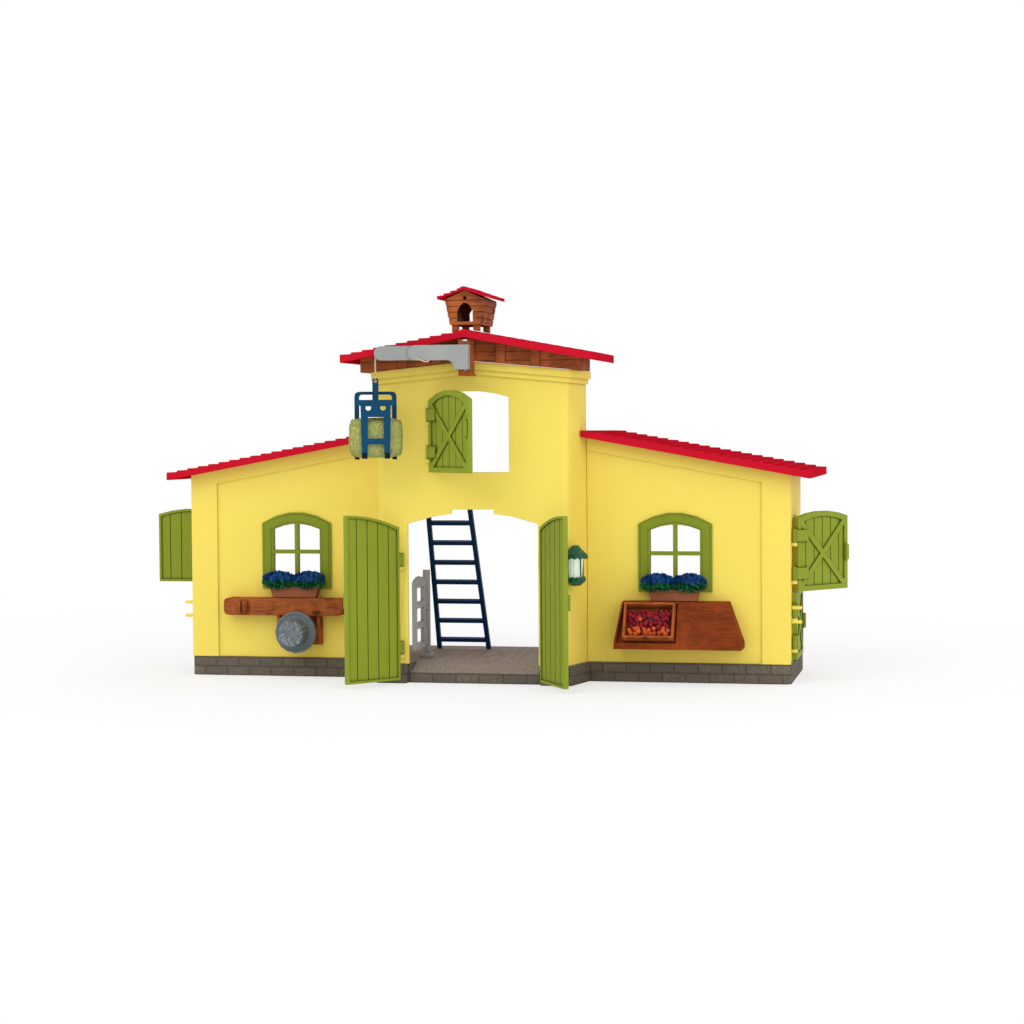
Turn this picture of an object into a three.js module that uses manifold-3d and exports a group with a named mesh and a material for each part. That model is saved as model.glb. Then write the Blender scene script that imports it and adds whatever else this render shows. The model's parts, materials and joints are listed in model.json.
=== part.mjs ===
// A toy barn with a tall middle bay, two low wings and opening doors. Its pieces
// are separate meshes in one group. Lengths are in millimetres and +Z is up.
// X runs along the front, Y from the front to the back. Zero is on the ground in
// the middle of the bay's front until the last lines move it under the base.

import * as THREE from 'three';
import { mergeVertices } from 'three/addons/utils/BufferGeometryUtils.js';
import Module from 'manifold-3d';

const wasm = await Module();
wasm.setup();

// Clearances and overruns
const seatGap = 0.3;
const overrun = 2;
const overlap = 0.8;
const mergeTolerance = 0.0001;

// Roundness of curves, as counts of segments
const cornerSegments = 3;
const archSegments = 5;
const smallRoundSegments = 8;
const roundSegments = 16;

// Barn
const barnHalfWidth = 242;
const towerHalfWidth = 76;
const bayHalfWidth = 84;
const wingSetBack = 36;
const barnBack = 150;
const wallThickness = 3;
const plinthHeight = 15;
const bayInnerWallBack = 60;
const towerCornerRadius = 5;

// Base
const plinthMargin = 2;
const plinthCornerRadius = 6;
const thresholdSetBack = 4.4;
const thresholdHalfWidth = 53.5;
const floorThickness = 3;
const ribThickness = 2;
const ribCellLength = 38;
const bayCellLength = 30;
const centrePadHalfWidth = 8;
const plankWidth = 12;
const plankGrooveWidth = 0.7;
const plankGrooveDepth = 0.5;
const rampBack = 24;
const rampFrontHeight = 8;

// Roofs
const roofSlopeShare = 0.185;
const roofSkinThickness = 3.2;
const roofRimHeight = 6.4;
const roofRimWidth = 4;
const courseStep = 1.3;
const ridgeCapHalfWidth = 3;
const wingRoofOverhang = 18;
const wingRoofHalfLength = barnHalfWidth + wingRoofOverhang;
const wingRoofEaveTop = 165.6;
const wingRoofFront = 22;
const wingRoofBack = 198;
const wingRoofInnerEdge = 81.2;
const wingCourseCount = 20;
const roofUnderRibDepth = 2.4;
const roofUnderRibPitch = 44;
const towerRoofHalfLength = 99;
const towerRidgeTop = 275.6;
const towerRoofFront = -24;
const towerRoofBack = 80;
const towerCourseCount = 11;

// Tower front
const corniceTop = 251.5;
const corniceSlopeShare = 0.095;
const corniceHeight = 10;
const corniceProud = 4;
const corniceLowerProud = 2;
const corniceLowerHeight = 4;
const doorwayHalfWidth = 52;
const doorwaySpring = 125.2;
const doorwayCrown = 134.2;
const notchHalfWidth = 17;
const notchTop = 136.4;
const loftHalfWidth = 29.5;
const loftSill = 165.5;
const loftSpring = 223.6;
const loftCrown = 228.5;

// Gable box over the cornice, with battens and king post
const gableHalfWidth = 87;
const gableProud = 8;
const gableBack = 38;
const gableLedgeThickness = 2.5;
const gableLedgeReach = 9;
const battenWidth = 7;
const battenProud = 1.2;
const battenFirst = 25.5;
const battenPitch = 27;
const gableGroovePitch = 7;
const kingPostHalfWidth = 5;
const kingPostBottom = 240;
const kingPostFront = -22;

// Wings
const pilasterWidth = 20.5;
const pilasterProud = 1.5;
const friezeProud = 1.5;
const friezeHeight = 10;
const windowCentre = 154;
const windowHalfWidth = 29;
const windowBottom = 71;
const windowSpring = 124;
const windowCrown = 133;
const windowFrameWidth = 9.5;
const windowFlange = 1.6;
const windowBead = 0.5;
const windowPlugInset = 1.9;
const muntinWidth = 3;
const muntinHeight = 101;
const pegRadius = 1.3;
const pegLength = 10;
const pegLow = 48;
const pegHigh = 59;
const pegSetBack = 5;
const flangeWidth = 9;

// Side doors, in the end walls
const sideOpeningHalfWidth = 29;
const sideOpeningSpring = 125;
const sideOpeningCrown = 129.5;

// Hinges: a barrel on each leaf drops over a pin that stands on an ear of the wall
const hingeReach = 2.4;
const barrelRadius = 2.2;
const barrelBore = 1.25;
const hingePinRadius = 0.95;
const barrelHeight = 10.5;
const earThickness = 2.6;
const strapLength = 14;
const strapThickness = 1.3;

// Leaves
const leafThickness = 3.8;
const leafBorder = 4;
const leafRecess = 1;
const leafPlankWidth = 10.5;
const leafGrooveWidth = 0.8;
const leafGrooveDepth = 0.5;
const braceWidth = 4.5;
const latchWidth = 3;
const latchProud = 2.2;
const latchHeight = 12;
const mainLeafStart = 5.6;
const mainLeafWidth = 50.7;
const mainLeafFront = 1.9;
const mainLeafBottom = 3.6;
const mainLeafHingeTop = 122.8;
const mainLeafFreeTop = 133.4;
const mainBarrelLow = 23;
const mainBarrelHigh = 92;
const mainHingeX = 57;
const mainLatchBottom = 62;
const overlayLeafStart = 2.5;
const loftLeafWidth = 64;
const loftLeafTop = 221.5;
const loftLeafCrown = 229;
const loftBarrelLow = 176;
const loftBarrelHigh = 205;
const loftHingeX = 33.6;
const sideLeafWidth = 60;
const sideLowerBottom = 16;
const sideLowerTop = 68.8;
const sideUpperBottom = 69.8;
const sideUpperTop = 128;
const sideUpperCrown = 132.5;
const sideBarrelInset = 9;

// How far each leaf stands open, in degrees
const leftDoorOpenDeg = 128;
const rightDoorOpenDeg = 122;
const loftDoorOpenDeg = 48;
const rightUpperOpenDeg = 36;
const leftUpperOpenDeg = 90;

// Loft floor, ladder and stall gate
const loftFloorTop = 163;
const loftFloorThickness = 3;
const loftLedgeDepth = 4;
const loftLedgeThickness = 3;
const loftLedgeHalfLength = 34;
const ladderCentre = -37;
const ladderFootHalfWidth = 23;
const ladderTopHalfWidth = 18.5;
const ladderFootBack = 126;
const ladderBarWidth = 3.6;
const ladderThickness = 3.4;
const ladderRungCount = 9;
const ladderFirstRung = 7.6;
const ladderRungPitch = 18;
const ladderRungHeight = 3.2;
const ladderHookLength = 5;
const ladderHookThickness = 2;
const ladderClear = 1.5;
const gateX = -52;
const gateFront = 17;
const gateBack = 49;
const gateBottom = 24;
const gateTop = 83;
const gateThickness = 3;
const gateBarHeight = 5;
const gateBarCount = 4;
const gateStileWidth = 5;
const gatePostWidth = 5;
const gatePostBack = 58;

// Window boxes
const boxTopHalfWidth = 20.3;
const boxBottomHalfWidth = 18;
const boxBottom = 64.5;
const boxTop = 73.5;
const boxFront = 26;
const boxWall = 1.3;
const boxRim = 0.7;
const boxRimHeight = 2;
const plantHalfWidth = 25;
const plantRadius = 6.4;
const plantHeight = 77.5;
const plantLumpCount = 5;
const plantSizeSwing = 0.7;
const plantForward = 0.7;
const plantShift = 1.3;

// Tool board and grindstone
const boardLeft = -213;
const boardRight = -113;
const boardBottom = 50;
const boardTop = 64;
const boardFront = 24;
const boardShell = 2.5;
const boardEndRadius = 4.5;
const clipX = -196;
const clipRadius = 4;
const clipBore = 2;
const clipHeight = 9;
const stoneX = -150.8;
const stoneZ = 37;
const wheelRadius = 16.8;
const wheelFront = 18;
const wheelThickness = 4.5;
const wheelRim = 2;
const wheelDishDepth = 0.5;
const drumRadius = 10.6;
const drumFront = 5;
const drumFaceThickness = 2;
const axleRadius = 2;
const axleBore = 2.3;
const axleHeadRadius = 3.4;
const axleHeadThickness = 1.6;
const bracketHalfWidth = 18;
const bracketBottom = 26;
const bracketFront = 27;
const bracketShell = 2.6;

// Produce stand with its crate
const standTopLeft = 113.6;
const standTopRight = 197;
const standBottomLeft = 109;
const standBottomRight = 208;
const standTop = 64;
const standBottom = 28;
const standTopFront = 25;
const standBottomFront = 10;
const standLip = 5;
const standRim = 1.6;
const standBayDepth = 5;
const standShell = 2.4;
const standDivider = 159;
const crateWidth = 39.5;
const crateLength = 29;
const crateDepth = 10.5;
const crateWall = 1.6;
const crateFloor = 1.4;
const crateSlatGap = 1.4;
const produceRadius = 4.5;
const produceColumns = 4;
const produceLift = 0.7;
const produceRows = 3;

// Lantern
const lanternX = 82;
const lanternY = -3;
const lanternBottom = 78;
const lanternTop = 109;
const lanternGlassRadius = 5;
const lanternGlassTopRadius = 6.2;
const lanternCapRadius = 9.2;
const lanternBaseRadius = 7.4;
const lanternBaseHeight = 6;
const lanternCapHeight = 9;
const lanternArmWidth = 3;
const lanternArmHeight = 5;

// Dovecote
const coteTopHalfWidth = 15.8;
const coteBottomHalfWidth = 11.9;
const coteFootHeight = 3.4;
const coteBottom = towerRidgeTop + coteFootHeight;
const coteWallHeight = 19.5;
const coteEaves = coteBottom + coteWallHeight;
const coteFront = -20;
const coteBack = 24;
const coteWall = 2.4;
const coteDoorHalfWidth = 6.2;
const coteDoorSideHeight = 10.5;
const coteDoorSpring = coteBottom + coteDoorSideHeight;
const coteHoleRise = 0.9;
const coteHoleHeight = coteEaves + coteHoleRise;
const coteHoleRadius = 1.5;
const coteFootHalfWidth = 2.4;
const coteFootOffset = 8.4;
const coteGroovePitch = 4.6;
const coteRoofHalfLength = 21;
const coteRoofRise = 9.9;
const coteRoofApex = coteEaves + coteRoofRise;
const coteRoofThickness = 2.6;
const coteRoofOverhang = 4;
const coteCourseCount = 4;

// Crane
const cranePivotX = 2;
const cranePivotY = -28;
const craneBarrelRadius = 3;
const craneBarrelBore = 1.6;
const cranePinRadius = 1.3;
const cranePinHeadRadius = 2.4;
const cranePinHeadHeight = 1.4;
const craneEarRadius = 2.6;
const craneEarThickness = 2.2;
const craneTop = 263.1;
const craneArmHeight = 11.5;
const craneEndRight = 6.5;
const craneEndLeft = -4.5;
const craneEndBottom = 244.4;
const craneGussetReach = 7.5;
const craneFront = -38;
const craneThickness = 7;
const craneKnuckleX = -35.4;
const craneTipX = -62.3;
const craneLinkInset = 1;
const craneSlotWidth = 2.6;
const craneGrooveDepth = 3.8;
const craneSlotStart = -54;
const pulleyRadius = 5;
const pulleyCore = 4.2;
const pulleyThickness = 2;
const wheelFlange = 0.35;
const stringTurnSteps = 8;
const pulleyBore = 1.3;
const pulleyPinRadius = 0.95;
const winchRadius = 4.9;
const winchCore = 3.4;
const winchThickness = 2;
const winchPocketRadius = 5.3;
const winchAxleRadius = 1.3;
const winchAxleBore = 1.6;
const crankRadius = 4.2;
const crankThickness = 1.6;
const crankHandleRadius = 1;
const crankHandleLength = 1.6;

// Hoist, grab and bale
const stringRadius = 0.55;
const ringRadius = 2.5;
const ringThickness = 0.5;
const grabX = -67.3;
const grabY = -35;
const grabTurnDeg = 15.7;
const stemWidth = 4.8;
const stemThickness = 2.4;
const stemTop = 238.8;
const stemEyeDrop = 2.6;
const stemEyeRadius = 1.2;
const jawAxisY = -42;
const jawAxisZ = 219.3;
const knuckleRadius = 2.4;
const knuckleBore = 1.35;
const jawPinRadius = 1.05;
const headHalfWidth = 3;
const forkHalfWidth = 16.3;
const forkTop = 228.4;
const forkBar = 2.4;
const forkLegWidth = 3.7;
const forkBack = -21.5;
const forkThickness = 2.4;
const forkBottom = 176;
const forkCornerRadius = 4;
const jawTineOffset = 8.6;
const jawTineTopWidth = 6;
const jawTineBottomWidth = 4.2;
const jawBottom = 176.8;
const jawThickness = 2.4;
const jawBarHeight = 4.4;
const jawLowerBar = 190;
const jawBarHalfWidth = 15;
const jawHoleRadius = 2.2;
const jawHoleOffset = 5.6;
const jawHoleDrop = 5;
const baleHalfWidth = 21;
const baleTop = 208.5;
const baleBottom = 177;
const baleCorner = 9;
const baleBevel = 4;

// Colours
const yellow = 0xf3da68;
const green = 0x75932f;
const windowGreen = 0x73962d;
const red = 0xd0102c;
const brown = 0x96502a;
const standBrown = 0x823a1e;
const crateBrown = 0xa0542f;
const terracotta = 0xaf6b4b;
const craneGrey = 0xaeb2bc;
const grabBlue = 0x085287;
const navy = 0x0b3560;
const stone = 0x7c736d;
const gateGrey = 0x85878c;
const steel = 0xc8c9cc;
const hay = 0x8f9a4e;
const flowers = 0x26407c;
const produceRed = 0xc23a2c;
const lanternGreen = 0x0a5a41;
const lanternLight = 0xf2f7e6;
const grindGrey = 0x828c91;
const stringTan = 0xd8cdb8;

const plasticRoughness = 0.5;
const softRoughness = 0.85;
const metalRoughness = 0.3;

const wingFloorFront = wingSetBack - plinthMargin;
const floorTop = plinthHeight;
const wallBottom = floorTop + seatGap;
const sideWallFront = wingSetBack + wallThickness + seatGap;
const sideWallMiddle = (sideWallFront + barnBack) / 2;
const sideWallHalfLength = (barnBack - sideWallFront) / 2;
const craneAxisZ = craneTop - craneArmHeight / 2;
const craneMiddleY = craneFront + craneThickness / 2;
const ringMiddle = stemTop - stemEyeDrop + ringRadius;
const hoistStringBottom = ringMiddle + ringRadius + ringThickness + seatGap;

// Turns a three.js geometry into a solid that can be joined and cut.
function solidOf(geometry) {
  const bare = geometry.clone();
  bare.deleteAttribute('normal');
  bare.deleteAttribute('uv');
  const merged = mergeVertices(bare, mergeTolerance);
  return new wasm.Manifold(new wasm.Mesh({
    numProp: 3,
    vertProperties: new Float32Array(merged.attributes.position.array),
    triVerts: new Uint32Array(merged.index.array),
  }));
}

// Turns a solid back into a three.js geometry.
function geometryOf(solid) {
  const mesh = solid.getMesh();
  const geometry = new THREE.BufferGeometry();
  geometry.setAttribute('position', new THREE.BufferAttribute(new Float32Array(mesh.vertProperties), 3));
  geometry.setIndex(new THREE.BufferAttribute(new Uint32Array(mesh.triVerts), 1));
  geometry.computeVertexNormals();
  return geometry;
}

function join(solids) {
  return solids.reduce((whole, next) => whole.add(next));
}

function cut(solid, tools) {
  return tools.reduce((rest, tool) => rest.subtract(tool), solid);
}

// The same solid seen in a mirror across the plane X = 0.
function mirrored(solid) {
  const geometry = geometryOf(solid);
  geometry.scale(-1, 1, 1);
  const index = geometry.index.array;
  for (let corner = 0; corner < index.length; corner += 3) {
    [index[corner], index[corner + 1]] = [index[corner + 1], index[corner]];
  }
  return solidOf(geometry);
}

function moved(solid, x, y, z, turnDeg = 0) {
  const geometry = geometryOf(solid);
  geometry.rotateZ(THREE.MathUtils.degToRad(turnDeg));
  geometry.translate(x, y, z);
  return solidOf(geometry);
}

function block(x0, x1, y0, y1, z0, z1) {
  const geometry = new THREE.BoxGeometry(x1 - x0, y1 - y0, z1 - z0);
  geometry.translate((x0 + x1) / 2, (y0 + y1) / 2, (z0 + z1) / 2);
  return solidOf(geometry);
}

// An outline in X and Y, raised from z0 to z1.
function raised(shape, z0, z1, segments = cornerSegments) {
  const options = { depth: z1 - z0, bevelEnabled: false, curveSegments: segments };
  const geometry = new THREE.ExtrudeGeometry(shape, options);
  geometry.translate(0, 0, z0);
  return solidOf(geometry);
}

// An outline in X and Z, swept back from y0 to y1.
function swept(shape, y0, y1, segments = cornerSegments) {
  const options = { depth: y1 - y0, bevelEnabled: false, curveSegments: segments };
  const geometry = new THREE.ExtrudeGeometry(shape, options);
  geometry.rotateX(Math.PI / 2);
  geometry.translate(0, y1, 0);
  return solidOf(geometry);
}

// An outline in Y and Z, swept sideways from x0 to x1.
function sideways(shape, x0, x1, segments = cornerSegments) {
  const options = { depth: x1 - x0, bevelEnabled: false, curveSegments: segments };
  const geometry = new THREE.ExtrudeGeometry(shape, options);
  const turn = new THREE.Matrix4().makeBasis(
    new THREE.Vector3(0, 1, 0),
    new THREE.Vector3(0, 0, 1),
    new THREE.Vector3(1, 0, 0),
  );
  geometry.applyMatrix4(turn);
  geometry.translate(x0, 0, 0);
  return solidOf(geometry);
}

function rodZ(x, y, radius, z0, z1, segments = smallRoundSegments) {
  const geometry = new THREE.CylinderGeometry(radius, radius, z1 - z0, segments);
  geometry.rotateX(Math.PI / 2);
  geometry.translate(x, y, (z0 + z1) / 2);
  return solidOf(geometry);
}

function rodY(x, z, radius, y0, y1, segments = smallRoundSegments) {
  const geometry = new THREE.CylinderGeometry(radius, radius, y1 - y0, segments);
  geometry.translate(x, (y0 + y1) / 2, z);
  return solidOf(geometry);
}

function rodX(y, z, radius, x0, x1, segments = smallRoundSegments) {
  const geometry = new THREE.CylinderGeometry(radius, radius, x1 - x0, segments);
  geometry.rotateZ(Math.PI / 2);
  geometry.translate((x0 + x1) / 2, y, z);
  return solidOf(geometry);
}

// A turned shape about a vertical line through x, y; the profile lists radius and height.
function turned(x, y, profile, segments = roundSegments) {
  const points = profile.map(([radius, height]) => new THREE.Vector2(radius, height));
  const geometry = new THREE.LatheGeometry(points, segments);
  geometry.rotateX(Math.PI / 2);
  geometry.translate(x, y, 0);
  return solidOf(geometry);
}

// A closed outline through corners [u, v, radius]; a corner without a radius is sharp.
function outline(corners) {
  const shape = new THREE.Shape();
  corners.forEach(([u, v, radius = 0], index) => {
    const [beforeU, beforeV] = corners[(index + corners.length - 1) % corners.length];
    const [afterU, afterV] = corners[(index + 1) % corners.length];
    const corner = new THREE.Vector2(u, v);
    const arrive = new THREE.Vector2(beforeU - u, beforeV - v).setLength(radius).add(corner);
    const leave = new THREE.Vector2(afterU - u, afterV - v).setLength(radius).add(corner);
    if (index === 0) {
      shape.moveTo(arrive.x, arrive.y);
    } else {
      shape.lineTo(arrive.x, arrive.y);
    }
    if (radius > 0) {
      shape.quadraticCurveTo(u, v, leave.x, leave.y);
    }
  });
  shape.closePath();
  return shape;
}

// A rectangle with an arched top.
function arched(u0, u1, bottom, spring, crown) {
  const shape = new THREE.Shape();
  shape.moveTo(u0, bottom);
  shape.lineTo(u1, bottom);
  shape.lineTo(u1, spring);
  shape.quadraticCurveTo((u0 + u1) / 2, 2 * crown - spring, u0, spring);
  shape.closePath();
  return shape;
}

// A rectangle whose top rises along half an arch, from u0 up to u1.
function halfArched(u0, u1, bottom, spring, crown) {
  const shape = new THREE.Shape();
  shape.moveTo(u0, bottom);
  shape.lineTo(u1, bottom);
  shape.lineTo(u1, crown);
  shape.quadraticCurveTo((u0 + u1) / 2, crown, u0, spring);
  shape.closePath();
  return shape;
}

function piece(name, solid, color, roughness = plasticRoughness, metalness = 0) {
  const material = new THREE.MeshStandardMaterial({ color, roughness, metalness });
  const mesh = new THREE.Mesh(geometryOf(solid), material);
  mesh.name = name;
  return mesh;
}

// Base

function baseOutline() {
  const side = barnHalfWidth + plinthMargin;
  const bay = bayHalfWidth + plinthMargin;
  const tower = towerHalfWidth + plinthMargin;
  const half = [
    [thresholdHalfWidth, thresholdSetBack],
    [thresholdHalfWidth, -plinthMargin],
    [tower, -plinthMargin, plinthMargin],
    [bay, wingFloorFront],
    [side, wingFloorFront, plinthCornerRadius],
    [side, barnBack, plinthCornerRadius],
  ];
  const other = half.map(([x, y, radius]) => [-x, y, radius]).reverse();
  return outline([...half, ...other]);
}

// Square hollows under the floor, with ribs left between them.
function underCells(halfWidth, front, back, cellLength) {
  const columns = 2 * Math.round(halfWidth / cellLength);
  const rows = Math.max(1, Math.round((back - front) / cellLength));
  const columnPitch = 2 * halfWidth / columns;
  const rowPitch = (back - front) / rows;
  const cells = [];
  for (let column = 0; column < columns; column += 1) {
    for (let row = 0; row < rows; row += 1) {
      const x0 = -halfWidth + column * columnPitch + ribThickness / 2;
      const y0 = front + row * rowPitch + ribThickness / 2;
      cells.push(block(x0, x0 + columnPitch - ribThickness, y0, y0 + rowPitch - ribThickness,
        -overrun, plinthHeight - floorThickness));
    }
  }
  return cells;
}

function basePlate() {
  const side = barnHalfWidth - plinthMargin;
  const plate = raised(baseOutline(), 0, plinthHeight);
  const wingCells = underCells(side, wingFloorFront + plinthMargin, barnBack - plinthMargin, ribCellLength);
  const bayCells = underCells(towerHalfWidth - plinthMargin, rampBack, wingFloorFront, bayCellLength);
  const ramp = sideways(outline([
    [-barnBack, plinthHeight + overrun],
    [-barnBack, rampFrontHeight],
    [thresholdSetBack, rampFrontHeight],
    [rampBack, plinthHeight],
    [rampBack, plinthHeight + overrun],
  ]), -doorwayHalfWidth, doorwayHalfWidth);
  const grooves = [];
  for (let y = thresholdSetBack + plankWidth; y < barnBack; y += plankWidth) {
    const reach = y < wingSetBack + wallThickness ? towerHalfWidth - overrun : barnHalfWidth - overrun;
    grooves.push(block(-reach, reach, y, y + plankGrooveWidth, plinthHeight - plankGrooveDepth,
      plinthHeight + overrun));
  }
  const middle = (barnBack - plinthMargin) / 2;
  const pad = block(-centrePadHalfWidth, centrePadHalfWidth, middle - centrePadHalfWidth,
    middle + centrePadHalfWidth, 0, plinthHeight - overlap);
  return join([cut(plate, [...wingCells, ...bayCells, ...grooves, ramp]), pad]);
}

// Tower

// The bay's outline in plan, grown outwards by an offset.
function bayCorners(offset, back) {
  return [
    [-bayHalfWidth - offset, back],
    [-bayHalfWidth - offset, wingSetBack],
    [-towerHalfWidth - offset, -offset, towerCornerRadius],
    [towerHalfWidth + offset, -offset, towerCornerRadius],
    [bayHalfWidth + offset, wingSetBack],
    [bayHalfWidth + offset, back],
  ];
}

// Everything under a line that falls both ways from a height in the middle.
function underSlope(middleHeight, slopeShare, bottom, y0, y1) {
  const reach = wingRoofHalfLength;
  const end = middleHeight - slopeShare * reach;
  return swept(outline([
    [-reach, Math.min(bottom, end - overrun)],
    [reach, Math.min(bottom, end - overrun)],
    [reach, end],
    [0, middleHeight],
    [-reach, end],
  ]), y0, y1);
}

function wingRoofTopAt(x) {
  return wingRoofEaveTop + roofSlopeShare * (wingRoofHalfLength - x);
}

// An ear that reaches from the wall, at +y, to the hinge line, with its pin standing on it.
function hingeEar(barrelBottom) {
  const top = barrelBottom - seatGap;
  const bottom = top - earThickness;
  return join([
    rodZ(0, 0, barrelRadius, bottom, top),
    block(-barrelRadius, barrelRadius, 0, hingeReach + overlap, bottom, top),
    rodZ(0, 0, hingePinRadius, bottom, barrelBottom + barrelHeight - seatGap),
  ]);
}

function towerWall() {
  const top = corniceTop + overrun;
  const outer = raised(outline(bayCorners(0, bayInnerWallBack)), wallBottom, top);
  const inner = raised(outline(bayCorners(-wallThickness, bayInnerWallBack + overrun)),
    wallBottom - overrun, top + overrun);
  const belowCornice = underSlope(corniceTop, corniceSlopeShare, 0, -overrun - corniceProud, wingSetBack);
  const roofSkinUnder = wingRoofTopAt(0) - roofSkinThickness - seatGap;
  const belowRoof = underSlope(roofSkinUnder, roofSlopeShare, 0, wingSetBack - overlap,
    bayInnerWallBack + overrun);
  const shell = outer.subtract(inner).intersect(join([belowCornice, belowRoof]));
  const bandTop = corniceTop;
  const bandInner = raised(outline(bayCorners(-overlap, wingSetBack + overrun)), 0, top + overrun);
  const band = (proud, from, to) => raised(outline(bayCorners(proud, wingSetBack)), 0, top)
    .subtract(bandInner)
    .intersect(underSlope(bandTop - from, corniceSlopeShare, 0, -corniceProud - overrun, wingSetBack))
    .subtract(underSlope(bandTop - to, corniceSlopeShare, -overrun, -corniceProud - 2 * overrun,
      wingSetBack + overrun));
  const through = [-overrun - corniceProud, wallThickness + overrun];
  const doorway = swept(arched(-doorwayHalfWidth, doorwayHalfWidth, 0, doorwaySpring, doorwayCrown),
    ...through, archSegments);
  const notch = block(-notchHalfWidth, notchHalfWidth, ...through, doorwaySpring, notchTop);
  const loft = swept(arched(-loftHalfWidth, loftHalfWidth, loftSill, loftSpring, loftCrown),
    ...through, archSegments);
  const ledgeTop = loftFloorTop - loftFloorThickness - seatGap;
  const ledges = [-1, 1].map((side) => {
    const inside = side * (bayHalfWidth - wallThickness);
    const reach = side * (bayHalfWidth - wallThickness - loftLedgeDepth);
    return block(Math.min(reach, inside + side * overlap), Math.max(reach, inside + side * overlap),
      wingSetBack + loftLedgeDepth, bayInnerWallBack, ledgeTop - loftLedgeThickness, ledgeTop);
  });
  const frontLedge = block(-loftLedgeHalfLength, loftLedgeHalfLength, wallThickness - overlap,
    wallThickness + loftLedgeDepth, ledgeTop - loftLedgeThickness, ledgeTop);
  const ears = [
    ...[mainBarrelLow, mainBarrelHigh].flatMap((height) => [
      moved(hingeEar(height), -mainHingeX, -hingeReach, 0),
      moved(hingeEar(height), mainHingeX, -hingeReach, 0),
    ]),
    ...[loftBarrelLow, loftBarrelHigh].map((height) => moved(hingeEar(height), -loftHingeX, -hingeReach, 0)),
  ];
  const walls = join([
    shell,
    band(corniceProud, 0, corniceHeight - corniceLowerHeight),
    band(corniceLowerProud, corniceHeight - corniceLowerHeight - overlap, corniceHeight),
    ...ledges,
    frontLedge,
  ]);
  return join([cut(walls, [doorway, notch, loft]), ...ears]);
}

function gableBox() {
  const back = gableBack;
  const front = -gableProud;
  const bottomLine = corniceTop + seatGap;
  const topLine = towerRidgeTop - roofSkinThickness - seatGap;
  const between = (low, lowSlope) => underSlope(topLine, roofSlopeShare, 0, front - overrun, back)
    .subtract(underSlope(low, lowSlope, -overrun, front - 2 * overrun, back + overrun));
  const plan = (half, y0, y1) => block(-half, half, y0, y1, 0, towerRidgeTop);
  const shell = plan(gableHalfWidth, front, back)
    .subtract(plan(gableHalfWidth - wallThickness, front + wallThickness, back + overrun))
    .intersect(between(bottomLine, corniceSlopeShare));
  const ledge = plan(gableHalfWidth, front, back)
    .subtract(plan(gableHalfWidth - wallThickness - gableLedgeReach, front + wallThickness + gableLedgeReach,
      back + overrun))
    .intersect(underSlope(bottomLine + gableLedgeThickness, corniceSlopeShare, 0, front - overrun, back))
    .subtract(underSlope(bottomLine, corniceSlopeShare, -overrun, front - 2 * overrun, back + overrun));
  const battens = [-1, 1].flatMap((side) => [0, 1].map((step) => {
    const middle = side * (battenFirst + step * battenPitch);
    return block(middle - battenWidth / 2, middle + battenWidth / 2, front - battenProud, front + overlap,
      0, towerRidgeTop).intersect(between(bottomLine, corniceSlopeShare));
  }));
  const grooves = [];
  for (let drop = gableGroovePitch; drop < towerRidgeTop - corniceTop; drop += gableGroovePitch) {
    const height = topLine - drop;
    grooves.push(block(-gableHalfWidth, gableHalfWidth, front - overrun, front + plankGrooveDepth,
      height, height + plankGrooveWidth));
  }
  return join([cut(join([shell, ledge]), grooves), ...battens]);
}

function kingPost() {
  const front = kingPostFront;
  const back = -gableProud - battenProud - seatGap;
  const top = towerRidgeTop - roofRimHeight - roofSlopeShare * kingPostHalfWidth - seatGap;
  const clearOfCornice = -corniceProud - seatGap;
  const post = block(-kingPostHalfWidth, kingPostHalfWidth, front, back, kingPostBottom, top);
  const barrelBottom = craneEndBottom + craneEarThickness;
  const earAt = (z0) => join([
    rodZ(cranePivotX, cranePivotY, craneEarRadius, z0, z0 + craneEarThickness),
    block(cranePivotX - craneEarRadius, cranePivotX + craneEarRadius, cranePivotY, front + overlap,
      z0, z0 + craneEarThickness),
  ]);
  const lower = earAt(barrelBottom - seatGap - craneEarThickness);
  const upper = earAt(craneTop + seatGap);
  const bore = rodZ(cranePivotX, cranePivotY, craneBarrelBore, kingPostBottom, top);
  const foot = block(-kingPostHalfWidth, kingPostHalfWidth, back - overlap, clearOfCornice,
    kingPostBottom, corniceTop - corniceHeight);
  return cut(join([post, lower, upper, foot]), [bore]);
}

// Roofs

// The outline of a roof that falls from innerX to outerX: its top is cut in courses of tiles.
function courseOutline(innerX, outerX, outerTop, courseCount, thickness, slopeShare = roofSlopeShare) {
  const pitch = (outerX - innerX) / courseCount;
  const lineAt = (x) => outerTop + slopeShare * (outerX - x) - courseStep;
  const corners = [];
  for (let course = 0; course < courseCount; course += 1) {
    const low = outerX - course * pitch;
    corners.push([low, lineAt(low) + courseStep]);
    corners.push([low - pitch, lineAt(low - pitch)]);
  }
  corners.push([innerX, lineAt(innerX) + courseStep - thickness]);
  corners.push([outerX, outerTop - thickness]);
  return corners;
}

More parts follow.
